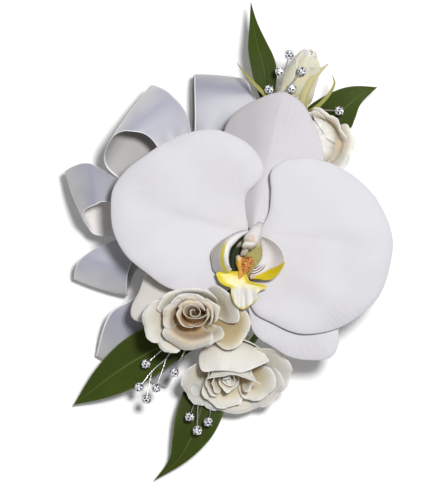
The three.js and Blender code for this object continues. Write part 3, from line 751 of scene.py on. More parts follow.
@dataclass(frozen=True)
class WingFinish(Finish):
    """Right lobe: pinkish white with a yellow wedge below, red stripes that bend round the throat, and
    painted shade along its folded lower edge.
    """

    name: str = "lip_lobe_wing"
    white: Colour = (0.74, 0.70, 0.70)
    yellow: Colour = (0.62, 0.48, 0.015)
    blush: Colour = (0.60, 0.45, 0.35)
    stripe: Colour = (0.10, 0.03, 0.04)
    # Colour along the folded lower edge: painted shade.
    rim: Colour = (0.15, 0.10, 0.02)
    centre: Point = (-2.0, -9.9, 38.2)
    first: float = 3.1
    pitch: float = 0.73
    stripes: float = 2.5
    wedge: tuple[Flat, ...] = (
        (0.0, 1.0), (0.44, 1.0), (0.54, 0.7), (0.6, 0.44),
        (0.7, 0.32), (0.83, 0.22), (0.93, 0.54), (1.0, 0.84),
    )

    def paint(self, s: Shader) -> None:
        """Paints the lobe.

        Args:
            s: The material's nodes.
        """
        across, along = s.axes()
        border = s.ramp(along, [(place, (level, level, level)) for place, level in self.wedge])
        skin = s.mix(s.mask(along, 0.72, 0.88), self.white, self.blush)
        skin = s.mix(s.mask(s.math("SUBTRACT", across, border), 0.0, 0.16), skin, self.yellow)
        # Darkens the outer edge near the lobe's end: painted shade at its fold.
        rim = s.times(s.mask(across, 0.8, 0.96), s.mask(along, 0.84, 0.91))
        skin = s.mix(rim, skin, self.rim)
        away = s.away(self.centre)
        turns = 2 * math.pi / (self.pitch * MM)
        phase = s.math("MULTIPLY_ADD", away, turns, -turns * self.first * MM)
        bands = s.mask(s.math("COSINE", phase), 0.0, 0.5)
        last = self.first + self.stripes * self.pitch
        where = s.times(s.mask(along, 0.46, 0.6), s.mask(across, 0.5, 0.34))
        where = s.times(where, s.mask(away, last * MM, (last - 0.1) * MM))
        s.base(Base_Color=s.mix(s.times(bands, where), skin, self.stripe))
        s.base(Roughness=0.45, Specular_IOR_Level=0.4)
        s.bump(s.noise(700.0), 0.2, 0.2)


@dataclass(frozen=True)
class ColumnFinish(Finish):
    """Waxy column, white with a peach flush and a beige end."""

    name: str = "column_skin"
    white: Colour = (0.72, 0.70, 0.68)
    peach: Colour = (0.62, 0.27, 0.10)
    flush: Point = (-2.3, -3.2, 44.0)
    beige: Colour = (0.42, 0.36, 0.28)

    def paint(self, s: Shader) -> None:
        """Paints the column.

        Args:
            s: The material's nodes.
        """
        _, along = s.axes()
        flush = s.mask(s.away(self.flush), 1.9 * MM, 0.6 * MM)
        skin = s.mix(s.times(flush, s.noise(900.0)), self.white, self.peach)
        s.base(Base_Color=s.mix(s.mask(along, 0.66, 0.86), skin, self.beige))
        s.base(Roughness=0.5, Specular_IOR_Level=0.2)


@dataclass(frozen=True)
class PedicelFinish(Finish):
    """Fleshy stalk, green below and white towards the bloom."""

    low: float
    high: float
    name: str = "pedicel_skin"
    green: Colour = (0.14, 0.22, 0.05)
    white: Colour = (0.62, 0.61, 0.61)

    def paint(self, s: Shader) -> None:
        """Paints the stalk.

        Args:
            s: The material's nodes.
        """
        height = s.node("ShaderNodeSeparateXYZ", {"Vector": s.coords("Object")}).outputs["Z"]
        s.base(Base_Color=s.mix(s.mask(height, self.low, self.high), self.green, self.white))
        s.base(Roughness=0.5, Specular_IOR_Level=0.35)
        s.bump(s.noise(600.0), 0.2, 0.2)


@dataclass(frozen=True)
class RoseFinish(Finish):
    """Velvety rose petal, tan towards its foot and ivory towards its rim: the tan is partly its own tone and
    partly painted shade deep in the cup, and a lighter border along its edges is a painted highlight.
    """

    name: str
    deep: Colour
    middle: Colour
    rim: Colour
    turn: float = 0.5
    # Colour of the thin edges: painted highlight.
    border: Colour = (0.83, 0.81, 0.765)

    def paint(self, s: Shader) -> None:
        """Paints the petal.

        Args:
            s: The material's nodes.
        """
        across, along = s.axes()
        cloud = s.noise(130.0)
        place = s.stray(along, cloud, 0.3)
        skin = s.ramp(place, [(0.08, self.deep), (self.turn, self.middle), (0.84, self.rim)])
        veins = s.waves(s.coords("UV", (1.0, 0.3, 1.0)), 9.0, 8.0)
        skin = s.mix(s.times(veins, 0.12), skin, self.middle)
        # Lighter border along the rim and the side edges: painted highlight.
        border = s.math("MAXIMUM", s.mask(along, 0.88, 1.0), s.mask(s.off_middle(across), 0.9, 1.0))
        s.base(Base_Color=s.mix(s.times(border, 0.85), skin, self.border))
        s.base(Roughness=0.6, Specular_IOR_Level=0.25, Sheen_Weight=0.15, Sheen_Roughness=0.5)
        s.base(Subsurface_Weight=0.35, Subsurface_Radius=(1.0, 0.7, 0.4), Subsurface_Scale=1.2 * MM)
        s.bump(s.weigh(veins, 0.4, cloud, 0.6), 0.2, 0.3)


@dataclass(frozen=True)
class LeafFinish(Finish):
    """Glossy leaf with veins along its length and a paler midrib, darker towards its base as painted shade
    where it runs under the flowers.
    """

    name: str
    dark: Colour
    light: Colour
    rib: Colour
    veins: float = 7.0
    roughness: float = 0.5

    def paint(self, s: Shader) -> None:
        """Paints the leaf.

        Args:
            s: The material's nodes.
        """
        across, along = s.axes()
        veins = s.waves(s.coords("UV", (1.0, 0.06, 1.0)), self.veins, 1.6)
        cloud = s.noise(70.0)
        tone = s.math("SUBTRACT", s.weigh(veins, 0.22, cloud, 0.55), 0.15)
        # Darker towards the base: painted shade where the blade runs under the flowers.
        skin = s.mix(s.math("MULTIPLY_ADD", along, 0.45, tone), self.dark, self.light)
        edge = s.off_middle(across)
        skin = s.mix(s.times(s.mask(edge, 0.07, 0.0), 0.6), skin, self.rib)
        s.base(Base_Color=s.mix(s.times(s.mask(edge, 0.9, 1.0), 0.35), skin, self.rib))
        s.base(Roughness=self.roughness, Specular_IOR_Level=0.1)
        s.bump(s.math("ADD", veins, s.times(cloud, 0.8)), 0.22, 0.3)


@dataclass(frozen=True)
class SatinFinish(Finish):
    """Satin ribbon with a painted sheen and painted shade that change along it, a fine weave and a woven edge
    on both sides.
    """

    name: str
    stops: tuple[tuple[float, Colour], ...]
    # Scales the stops: painted light and shade for the loop as a whole.
    tone: float = 1.0
    edge: Colour = (0.78, 0.78, 0.79)
    threads: float = 24.0
    roughness: float = 0.36

    def paint(self, s: Shader) -> None:
        """Paints the ribbon.

        Args:
            s: The material's nodes.
        """
        across, along = s.axes()
        rim = s.mask(s.off_middle(across), 0.94, 0.97)
        weave = s.waves(s.coords("UV", (1.0, 0.05, 1.0)), self.threads, 0.4)
        sheen = s.noise(2.0, 1.0, s.coords("UV", (1.0, 3.0, 1.0)))
        # The stops along the loop are painted sheen and shade, scaled by the tone.
        stops = [(at, tuple(self.tone * c for c in colour)) for at, colour in self.stops]
        face = s.ramp(s.stray(along, sheen, 0.16), stops)
        s.base(Base_Color=s.mix(rim, face, self.edge))
        s.base(Roughness=self.roughness, Specular_IOR_Level=0.45)
        s.base(Sheen_Weight=0.2, Sheen_Roughness=0.35)
        s.bump(s.math("ADD", s.times(weave, 0.3), rim), 0.3, 0.12)


@dataclass(frozen=True)
class MetalFinish(Finish):
    """Drawn or brushed metal."""

    name: str
    colour: Colour
    roughness: float
    grain: float = 900.0
    dull: float = 0.82

    def paint(self, s: Shader) -> None:
        """Paints the metal.

        Args:
            s: The material's nodes.
        """
        grain = s.noise(self.grain, vector=s.coords("Object", (0.08, 1.0, 1.0)))
        dull = tuple(self.dull * c for c in self.colour)
        s.base(Base_Color=s.mix(grain, dull, self.colour), Metallic=1.0)
        s.base(Roughness=s.math("ADD", s.times(grain, 0.12), self.roughness))
        s.bump(grain, 0.08, 0.1)


@dataclass(frozen=True)
class StoneFinish(Finish):
    """One tone of a foiled stone's facets: the bright and dark tones are painted highlight and painted dark
    reflection.
    """

    name: str
    colour: Colour
    tint: Colour
    metal: float

    def paint(self, s: Shader) -> None:
        """Paints the facets with a glint."""
        glint = s.mask(s.noise(1400.0, 0.0), 0.4, 0.6)
        s.base(Base_Color=s.mix(glint, self.colour, self.tint), Metallic=self.metal, Roughness=0.08)


@dataclass(frozen=True)
class FibreFinish(Finish):
    """Crepe tape or ribbed elastic: bands of thread across a strip, with a fine nap."""

    name: str
    colour: Colour
    shade: Colour
    scale: Point
    bands: float
    depth: float

    def paint(self, s: Shader) -> None:
        """Paints the threads.

        Args:
            s: The material's nodes.
        """
        ribs = s.waves(s.coords("Object", self.scale), self.bands, 0.8)
        share = s.weigh(ribs, 0.5, s.noise(1500.0), 0.4)
        s.base(Base_Color=s.mix(share, self.shade, self.colour), Roughness=0.85, Specular_IOR_Level=0.2)
        s.base(Sheen_Weight=0.15, Sheen_Roughness=0.6)
        s.bump(share, 0.6, self.depth)


# Orchid


@dataclass(frozen=True)
class Loft:
    """A surface through curves that lie side by side, each given by its points."""

    curves: tuple[Line, ...]

    def spot(self, u: float, v: float) -> Vector:
        """Places one point, u along the curves and v across them."""
        across = [spline(vectors(curve), u) for curve in self.curves]
        return spline(across, (v + 1) / 2)


@dataclass
class Orchid:
    """The bloom: two petals, three sepals, a lip with two lobes and a callus, and the column."""

    claw_left: Flat = (-4.0, -1.5)
    claw_right: Flat = (0.8, -1.5)
    hub: Flat = (-2.0, -3.2)
    left_axis: float = 0.93 * math.pi
    right_axis: float = -0.12
    reach: float = 45.0
    claw_rise: float = 0.4
    crown: float = 2.4
    swell: float = 0.35
    groove: float = 0.5
    groove_width: float = 0.12
    wave: float = 0.8
    furrow: float = 0.34
    hang: float = 2.0
    sepal_sink: float = 0.6
    sepal_rim: float = 0.8
    sepal_ripple: float = 0.3
    crease_width: float = 0.12
    petal_faces: int = 64
    sepal_faces: int = 48
    patch_faces: int = 28
    petal_wall: float = 0.36
    lip_wall: float = 0.4
    lip_level: float = 37.2
    lip_low: float = -26.0
    lip_span: float = 12.0
    lip_arch: float = 1.6
    lip_lift: float = 0.7
    lip_hollow: float = 0.9
    lip_hollow_x: float = -4.6
    lip_hollow_width: float = 1.3
    lip_ripple: float = 0.35
    throat_level: float = 36.6
    callus_seat: float = 2.2
    callus_rise: float = 1.8
    column_line: Line = ((0.5, 1.0, 36.2), (-0.9, -1.4, 39.4), (-2.3, -3.9, 41.6), (-3.4, -6.2, 42.2))
    column_widths: tuple[Flat, ...] = ((0.0, 1.2), (0.35, 2.1), (0.7, 2.5), (1.0, 1.6))
    cap_slant: float = 0.4
    cap_notch: float = 0.5
    cap_notch_width: float = 0.3
    cap_parts: tuple[tuple[Point, Point], ...] = (
        ((2.2, 1.7, 1.3), (-3.0, -5.3, 43.0)),
        ((1.2, 1.7, 1.0), (-4.4, -7.5, 41.4)),
    )
    left_petal: Outline = Outline(
        (-23.4, 7.4),
        (
            (-3.2, -0.8), (-4.0, 5.5), (-3.5, 11.2), (1.0, 16.0), (1.6, 19.8), (-1.6, 25.3), (-7.7, 29.4),
            (-13.8, 31.4), (-21.1, 30.7), (-30.4, 26.9), (-36.5, 22.7), (-42.6, 17.9), (-46.4, 12.2),
            (-47.0, 6.1), (-46.1, -1.3), (-42.6, -8.0), (-35.8, -14.1), (-29.1, -18.9), (-22.5, -20.6),
            (-16.3, -20.6), (-11.5, -20.6), (-7.5, -17.5), (-5.0, -8.0),
        ),
    )
    right_petal: Outline = Outline(
        (21.4, -5.4),
        (
            (3.8, 17.3), (7.0, 20.8), (13.1, 22.4), (21.1, 21.4), (28.5, 17.9), (35.2, 12.2), (40.0, 5.1),
            (42.9, -4.2), (41.9, -12.2), (38.1, -22.1), (32.0, -28.2), (25.3, -32.0), (19.0, -33.6),
            (12.5, -33.6), (4.5, -30.2), (-1.0, -27.0), (-3.4, -21.5), (-3.2, -15.0), (-2.2, -8.0),
            (0.4, -1.0), (3.4, 5.0), (4.2, 12.0),
        ),
    )
    dorsal: Outline = Outline(
        (5.8, 22.0),
        (
            (-11.5, 28.2), (-10.2, 33.0), (-5.4, 38.4), (0.0, 41.3), (3.8, 42.9), (8.3, 43.5), (11.2, 42.2),
            (14.4, 39.7), (17.0, 35.2), (19.2, 30.4), (20.5, 25.9), (21.0, 21.8), (17.0, 13.0), (9.0, 2.0),
            (2.0, -3.0), (-3.0, 0.0), (-9.5, 13.0),
        ),
    )
    sepal_right: Outline = Outline(
        (10.0, -27.0),
        (
            (-2.9, -27.5), (-1.6, -33.0), (4.5, -37.8), (10.6, -41.3), (16.6, -42.2), (23.0, -41.3),
            (25.4, -37.8), (25.6, -32.3), (22.0, -22.0), (12.0, -10.0), (5.0, -7.0), (0.0, -10.0),
            (-3.2, -18.0),
        ),
    )
    sepal_left: Outline = Outline(
        (-27.0, -16.5),
        (
            (-34.6, -12.4), (-38.0, -20.0), (-40.8, -26.2), (-40.2, -28.8), (-36.6, -29.8), (-31.0, -25.0),
            (-23.0, -18.5), (-13.0, -12.5), (-8.0, -8.5), (-10.0, -5.5), (-22.0, -8.0),
        ),
    )
    blade: Outline = Outline(
        (-5.5, -17.9),
        (
            (-7.1, -13.8), (-9.6, -13.9), (-11.8, -13.9), (-13.4, -14.3), (-13.0, -15.9), (-12.2, -17.3),
            (-10.6, -18.3), (-9.0, -18.8), (-8.6, -20.3), (-8.2, -22.2), (-7.5, -24.2), (-6.1, -25.5),
            (-4.5, -25.9), (-2.6, -24.6), (-0.6, -22.8), (-0.1, -21.8), (-0.3, -20.8), (1.0, -19.8),
            (2.9, -18.7), (0.9, -18.0), (-1.2, -17.5), (-2.8, -16.9), (-3.6, -15.6), (-4.5, -14.0),
        ),
    )
    callus_edge: Outline = Outline(
        (-4.5, -11.4),
        (
            (-6.8, -8.9), (-5.9, -8.6), (-3.9, -9.3), (-1.6, -9.9), (-2.2, -11.8), (-3.0, -13.8),
            (-4.5, -14.8), (-5.5, -15.8), (-6.0, -16.5), (-6.4, -15.4), (-6.3, -13.4), (-7.1, -10.9),
        ),
    )
    throat_edge: Outline = Outline(
        (-4.3, -10.1),
        (
            (-3.2, -2.0), (1.0, -4.0), (1.6, -8.0), (1.0, -11.0), (-2.2, -14.2), (-5.5, -16.2), (-8.0, -14.4),
            (-9.6, -12.2), (-9.8, -8.5), (-8.4, -5.0), (-6.3, -3.0),
        ),
    )
    hood: Loft = Loft((
        (
            (-3.3, -0.6, 36.0), (-6.3, -1.2, 35.8), (-9.4, -2.8, 35.8), (-11.8, -4.2, 35.8),
            (-14.5, -6.7, 36.2), (-15.2, -8.9, 36.6), (-14.9, -10.9, 36.6), (-14.3, -13.4, 36.4),
            (-12.6, -14.8, 36.4),
        ),
        (
            (-3.2, -0.9, 38.0), (-6.1, -1.7, 41.0), (-8.8, -3.0, 43.0), (-10.4, -4.6, 44.2),
            (-11.2, -6.4, 44.6), (-11.6, -8.5, 44.4), (-11.5, -10.5, 43.4), (-11.0, -12.6, 41.8),
            (-9.8, -14.2, 39.4),
        ),
        (
            (-3.1, -1.2, 38.1), (-5.3, -2.4, 41.2), (-7.3, -4.2, 43.3), (-9.0, -6.2, 44.4),
            (-9.6, -8.3, 44.8), (-9.7, -10.1, 44.6), (-9.4, -11.8, 43.6), (-9.0, -12.6, 41.8),
            (-8.4, -13.2, 39.6),
        ),
        (
            (-3.5, -2.6, 36.9), (-5.5, -4.0, 36.9), (-7.0, -5.6, 36.9), (-8.2, -7.2, 36.9),
            (-8.6, -8.8, 36.9), (-8.8, -10.4, 36.9), (-8.7, -11.8, 36.9), (-8.5, -12.6, 36.9),
            (-8.2, -13.1, 36.9),
        ),
    ))
    wing: Loft = Loft((
        (
            (0.8, -4.0, 37.4), (1.1, -6.0, 37.2), (1.2, -7.9, 37.2), (1.1, -9.3, 37.2), (0.4, -10.9, 37.3),
            (-0.6, -12.2, 37.4), (-1.6, -13.2, 37.6), (-2.2, -14.0, 37.8), (-2.5, -14.8, 38.0),
            (-2.7, -15.6, 38.2),
        ),
        (
            (1.0, -3.0, 38.0), (2.6, -4.6, 38.6), (3.9, -6.5, 38.8), (4.7, -8.5, 38.8), (4.6, -10.6, 38.8),
            (3.8, -12.4, 38.8), (2.4, -14.1, 38.8), (0.9, -15.3, 38.8), (-0.9, -15.8, 38.7),
            (-2.6, -16.0, 38.5),
        ),
        (
            (1.3, -2.5, 39.2), (3.9, -3.7, 41.4), (6.3, -5.4, 42.6), (7.9, -7.9, 43.2), (8.4, -10.1, 43.2),
            (7.8, -12.4, 42.6), (6.1, -14.8, 41.4), (3.9, -16.4, 40.4), (0.6, -16.5, 39.6),
            (-2.4, -16.3, 38.9),
        ),
    ))

    def petal(self, side: Side) -> SheetMesh:
        """Makes one broad petal.

        Args:
            side: Which petal.

        Returns:
            Its sheet.
        """
        if side is Side.LEFT:
            fan = Fan(self.left_petal, self.claw_left, self.left_axis, self.reach)
            furrows = (0.35, 1.0)
        else:
            fan = Fan(self.right_petal, self.claw_right, self.right_axis, self.reach)
            furrows = (0.5, 1.1)
        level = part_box("orchid_petal_left")[0].z / MM + self.claw_rise
        sign = side.value

        def spot(u: float, v: float) -> Vector:
            """Places one point of the petal."""
            x, y, away, angle = fan.polar(u, v)
            rim = to_rim(u, v) ** 10
            crown = self.crown * math.sin(0.8 * math.pi * min(1.1, away))
            swell = self.swell * math.sin(0.27 * x + 1.0) * math.sin(0.23 * y + 0.4 * sign)
            groove = math.exp(-((angle / self.groove_width) ** 2)) * math.sin(math.pi * min(1.0, away))
            wave = self.wave * away**2 * math.sin(4.4 * angle + sign)
            furrow = self.furrow * math.sin(27 * angle + 3 * away) * smooth_step(0.45, 0.85, away)
            hang = self.hang * smooth_step(0.6, 1.3, -sign * angle) * min(1.0, 2 * away)
            height = level + crown + swell * min(1.0, 1.6 * away) - self.groove * groove + wave
            return Vector((x, y, height + furrow * smooth_step(*furrows, angle) - rim - hang))

        return SheetMesh().add(spot, self.petal_faces, self.petal_faces, fan.chart)

    def sepal(self, outline: Outline, node: str, sag: float, fold: float, lift: float) -> SheetMesh:
        """Makes one sepal behind the petals.

        Args:
            outline: Its edge.
            node: The node that it stands for, which gives its height.
            sag: How far its tip falls, in millimetres.
            fold: How far it falls away on both sides of its middle line.
            lift: How far it rises towards the petals.

        Returns:
            Its sheet.
        """
        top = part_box(node)[1].z / MM - self.sepal_sink + lift
        axis, length = max(Outline(self.hub, outline.points).polar(), key=lambda p: p[1])
        fan = Fan(outline, self.hub, axis, length)

        def spot(u: float, v: float) -> Vector:
            """Places one point of the sepal."""
            x, y, away, angle = fan.polar(u, v)
            rim = self.sepal_rim * to_rim(u, v) ** 6
            crease = fold * (1 - math.exp(-abs(angle) / self.crease_width)) * smooth_step(0.35, 0.7, away)
            fall = sag * (1 - (1 - min(1.0, away)) ** 2)
            wave = self.sepal_ripple * math.sin(6 * angle) * away
            return Vector((x, y, top - fall - crease - rim + wave))

        return SheetMesh().add(spot, self.sepal_faces, self.sepal_faces, fan.chart)

    def lip(self) -> SheetMesh:
        """Makes the lip's blade with its two wings and its folded tip."""

        def spot(u: float, v: float) -> Vector:
            """Places one point of the lip."""
            x, y = self.blade.inside(u, v)
            share = (y - self.lip_low) / self.lip_span
            tip = smooth_step(0.62, 0.35, share)
            arch = self.lip_arch * math.sin(math.pi * min(1.0, 0.25 + 0.75 * (1 - share)))
            hollow = self.lip_hollow * math.exp(-(((x - self.lip_hollow_x) / self.lip_hollow_width) ** 2))
            hollow += self.lip_ripple * math.sin(2.4 * x)
            lift = self.lip_lift * to_rim(u, v) ** 4
            return Vector((x, y, self.lip_level + arch + lift - hollow * tip))

        def chart(u: float, v: float) -> Flat:
            """Maps the share of the way to the edge and the height in the lip."""
            return to_rim(u, v), (self.blade.inside(u, v)[1] - self.lip_low) / self.lip_span

        return SheetMesh().add(spot, self.sepal_faces, self.sepal_faces, chart)

    def mound(self, outline: Outline, low: float, rise: float) -> SheetMesh:
        """Makes a domed or flat patch within an outline.

        Args:
            outline: Its edge.
            low: Height of its edge.
            rise: How far its middle stands above its edge.

        Returns:
            Its sheet.
        """
        xs, ys = zip(*outline.points)

        def spot(u: float, v: float) -> Vector:
            """Places one point of the patch."""
            x, y = outline.inside(u, v)
            reach = to_rim(u, v)
            ridge = 0.25 * rise * math.sin(2.6 * x) * (1 - reach)
            return Vector((x, y, low + rise * (1 - reach**2.5) + ridge))

        def chart(u: float, v: float) -> Flat:
            """Maps the place across and along the patch."""
            x, y = outline.inside(u, v)
            return (x - min(xs)) / (max(xs) - min(xs)), (y - min(ys)) / (max(ys) - min(ys))

        return SheetMesh().add(spot, self.patch_faces, self.patch_faces, chart)

    def lobe(self, side: Side) -> SheetMesh:
        """Makes a side lobe: the left one curls over the throat, the right one stands open."""
        loft = self.hood if side is Side.LEFT else self.wing
        return SheetMesh().add(loft.spot, 40, 30)

    def column(self) -> SheetMesh:
        """Makes the column that leans out over the throat."""
        path = vectors(self.column_line)
        return SheetMesh().tube(path, lambda u: value_along(self.column_widths, u), 16, 24)

    def cap(self) -> SheetMesh:
        """Makes the rounded anther cap at the column's end and the small beak below it."""
        sheet = SheetMesh()
        for (wide, long, high), centre in self.cap_parts:
            made = bmesh.ops.create_uvsphere(sheet.bm, u_segments=24, v_segments=16, radius=1.0)
            for vert in made["verts"]:
                notch = math.exp(-((vert.co.x / self.cap_notch_width) ** 2))
                y = long * vert.co.y + self.cap_notch * notch * smooth_step(0.0, -1.0, vert.co.y)
                own = Vector((wide * vert.co.x + self.cap_slant * y, y, high * vert.co.z))
                vert.co = (own + Vector(centre)) * MM
        for face in sheet.bm.faces:
            face.smooth = True
            for loop in face.loops:
                loop[sheet.uv].uv = (0.5, 0.55 - (3.8 + loop.vert.co.y / MM) / 8)
        return sheet

    def build(self) -> None:
        """Makes and dresses every piece of the bloom."""
        white, shade, claw = (0.642, 0.632, 0.662), (0.575, 0.558, 0.60), (0.65, 0.63, 0.62)
        # The dorsal sepal's greys are painted shade: darker than the petals, and darkest on one half.
        grey, cloud, painted_side_shade = (0.605, 0.588, 0.62), (0.545, 0.525, 0.56), (0.43, 0.41, 0.43)
        # The low left sepal's warm ivory and sand are painted warm shade near the rose; its other half keeps
        # the petals' white.
        ivory, sand = (0.61, 0.585, 0.555), (0.53, 0.50, 0.45)
        petal = OrchidFinish("orchid_petal", white, shade, claw, white).build()
        shaded_dorsal_finish = OrchidFinish("orchid_sepal", grey, cloud, claw, painted_side_shade).build()
        warm = OrchidFinish("orchid_sepal_low", ivory, sand, claw, white).build()
        lobes = {Side.LEFT: HoodFinish().build(), Side.RIGHT: WingFinish().build()}
        for side in Side:
            name = side.name.lower()
            place = Place(Slot.ORCHID, f"orchid_petal_{name}")
            dress(f"petal_{name}", self.petal(side).bm, [petal], place, self.petal_wall)
            place = Place(Slot.LIP, f"orchid_lip_lobe_{name}")
            dress(f"lip_lobe_{name}", self.lobe(side).bm, [lobes[side]], place, self.lip_wall)
        sepals = [
            ("dorsal", shaded_dorsal_finish, self.dorsal, 0.6, 1.6, 0.6),
            ("left", warm, self.sepal_left, 5.0, 0.4, 0.0),
            ("right", petal, self.sepal_right, 0.6, 0.3, 2.0),
        ]
        for name, finish, outline, sag, fold, lift in sepals:
            node = f"orchid_sepal_{name}"
            sheet = self.sepal(outline, node, sag, fold, lift)
            dress(f"sepal_{name}", sheet.bm, [finish], Place(Slot.ORCHID, node), self.petal_wall)
        self.build_centre()

    def build_centre(self) -> None:
        """Makes and dresses the lip, its throat and the column."""
        place = Place(Slot.LIP, "orchid_lip")
        skin = ColumnFinish().build()
        throat = self.mound(self.throat_edge, self.throat_level, 0.0)
        callus = self.mound(self.callus_edge, self.throat_level + self.callus_seat, self.callus_rise)
        dress("lip", self.lip().bm, [LipFinish().build()], place, self.lip_wall)
        dress("throat", throat.bm, [ThroatFinish().build()], place, self.lip_wall)
        dress("callus", callus.bm, [CallusFinish().build()], place, self.lip_wall)
        dress("column", self.column().bm, [skin], Place(Slot.COLUMN, "orchid_column"))
        dress("cap", self.cap().bm, [skin], Place(Slot.COLUMN, "orchid_anther_cap"))


# Roses


@dataclass(frozen=True)
class RosePetal:
    """One petal of a rose: its place round the axis and its profile as radius and height from foot to rim."""

    azimuth: float
    spread: float
    profile: tuple[Flat, ...]
    drop: float = 0.35
    tuck: float = 0.5
    ripple: float = 0.3
    point: float = 0.06
    flare: float = 0.5
    shift: Flat = (0.0, 0.0)
    curl: float = 0.25
    lean: float = 0.0
    finish: int = 0

    FOOT_WIDTH = 0.6
    LONG_WAVES = 2.6 * math.pi
    SHORT_WAVES = 8.3 * math.pi

    def spot(self, u: float, v: float) -> Vector:
        """Places one point of the petal round the rose's own axis.

        Args:
            u: Place from the foot to the rim, from 0 to 1.
            v: Place across the petal, from -1 to 1.

        Returns:
            The point in millimetres.
        """
        edge = abs(v)
        left, right = 1 + self.lean * v, 1 - self.lean * v
        fall = self.drop * right * edge**3 + self.curl * left * edge**12
        share = u * (1 - self.point - fall + self.point * (1 - edge) ** 2)
        ring = spline(vectors(self.profile), share)
        width = self.FOOT_WIDTH + (1 - self.FOOT_WIDTH) * math.sin(math.pi / 2 * u)
        angle = math.radians(self.azimuth + self.spread * v * width)
        phase = math.radians(3 * self.azimuth)
        wave = self.ripple * u**3 * math.sin(self.LONG_WAVES * v + phase)
        wave += 0.3 * self.ripple * u**6 * math.sin(self.SHORT_WAVES * v + 2 * phase)
        radius = ring.x + self.tuck * v * u + self.flare * right * edge**4 * u * u + 0.6 * wave
        x = radius * math.cos(angle) + self.shift[0] * u
        y = radius * math.sin(angle) + self.shift[1] * u
        return Vector((x, y, ring.y + wave))


@dataclass(frozen=True)
class RoseHeart:
    """The rolled middle of a rose, a strip wound outwards."""

    turns: float = 1.9
    inner: float = 0.5
    outer: float = 3.6
    foot: float = 4.0
    top: float = 12.4
    first: float = 40.0
    wobble: float = 0.16
    shift: Flat = (0.0, 0.0)

    FLARE = 0.4
    GATHER = 0.3
    RISE = 0.7
    ROLL = 0.6
    LEAST = 0.12

    def spot(self, u: float, v: float) -> Vector:
        """Places one point of the wound strip.

        Args:
            u: Place from the foot to the rim, from 0 to 1.
            v: Place along the strip, from -1 to 1.

        Returns:
            The point in millimetres.
        """
        along = (v + 1) / 2
        angle = math.radians(self.first) + 2 * math.pi * self.turns * along
        radius = self.inner + (self.outer - self.inner) * along**0.85
        radius *= 1 + self.wobble * math.sin(1.5 * angle + 0.7) * along
        flare = self.FLARE * smooth_step(0.75, 1.0, u) - self.GATHER * (1 - u)
        rim = self.top + self.RISE * along + self.ROLL * math.sin(1.7 * angle)
        height = self.foot + (rim - self.foot) * u
        radius = max(self.LEAST, radius + flare * along)
        x = radius * math.cos(angle) + self.shift[0] * u
        y = radius * math.sin(angle) + self.shift[1] * u
        return Vector((x, y, height))


@dataclass
class Rose:
    """A rose head: a wound heart, the petals round it, the outer petals and the calyx."""

    name: str
    place: Point
    tilt: Flat
    heart: RoseHeart
    ring: tuple[RosePetal, ...]
    outer: tuple[RosePetal, ...]
    size: Point = (1.0, 1.0, 1.0)
    wall: float = 0.26
    sepal_wall: float = 0.3
    hip: float = 5.0
    hip_radius: float = 3.0
    sepal_root: float = 2.2
    sepal_length: float = 7.5
    sepal_half_width: float = 1.5
    sepal_turn: float = 54.0
    sepals: int = 5

    def matrix(self) -> Matrix:
        """Gives the head's place and lean, in metres."""
        lean = Euler((math.radians(self.tilt[0]), math.radians(self.tilt[1]), 0.0)).to_matrix().to_4x4()
        return Matrix.Translation(Vector(self.place) * MM) @ lean @ Matrix.Diagonal((*self.size, 1.0))

    def calyx(self) -> SheetMesh:
        """Makes the hip and its pointed sepals."""
        stops = ((0.0, 1.1), (0.45, self.hip_radius), (1.0, self.hip_radius * 0.9))
        line = [UP * z for z in (-self.hip, -self.hip / 2, 1.2)]
        sheet = SheetMesh().tube(line, lambda u: value_along(stops, u), 10, 18)
        for i in range(self.sepals):
            turn = Matrix.Rotation(math.radians(self.sepal_turn + 360 * i / self.sepals), 3, "Z")

            def spot(u: float, v: float) -> Vector:
                """Places one point of a sepal under the petals."""
                width = self.sepal_half_width * (1 - u) ** 0.8 + 0.05
                level = -0.7 - 0.4 * u * u + 0.25 * v * v
                return turn @ Vector((self.sepal_root + self.sepal_length * u, width * v, level))

            sheet.add(spot, 10, 4)
        return sheet.moved(self.matrix())

    def build(self, warm: Sequence[Material], pale: Sequence[Material], green: Material) -> None:
        """Makes and dresses the head.

        Args:
            warm: Finishes of the heart and the ring round it, by index.
            pale: Finishes of the outer petals, by index.
            green: Finish of the calyx.
        """
        heart = SheetMesh().add(self.heart.spot, 16, 90)
        for petal in self.ring:
            heart.add(petal.spot, 24, 26, material=petal.finish)
        outer = SheetMesh()
        for petal in self.outer:
            outer.add(petal.spot, 28, 30, material=petal.finish)
        place = Place(Slot.ROSE, f"{self.name}_heart")
        dress(f"{self.name}_heart_petals", heart.moved(self.matrix()).bm, warm, place, self.wall)
        place = Place(Slot.ROSE, f"{self.name}_outer_petals")
        dress(f"{self.name}_petals", outer.moved(self.matrix()).bm, pale, place, self.wall)
        place = Place(Slot.CALYX, f"{self.name}_calyx")
        dress(f"{self.name}_sepals", self.calyx().bm, [green], place, self.sepal_wall)


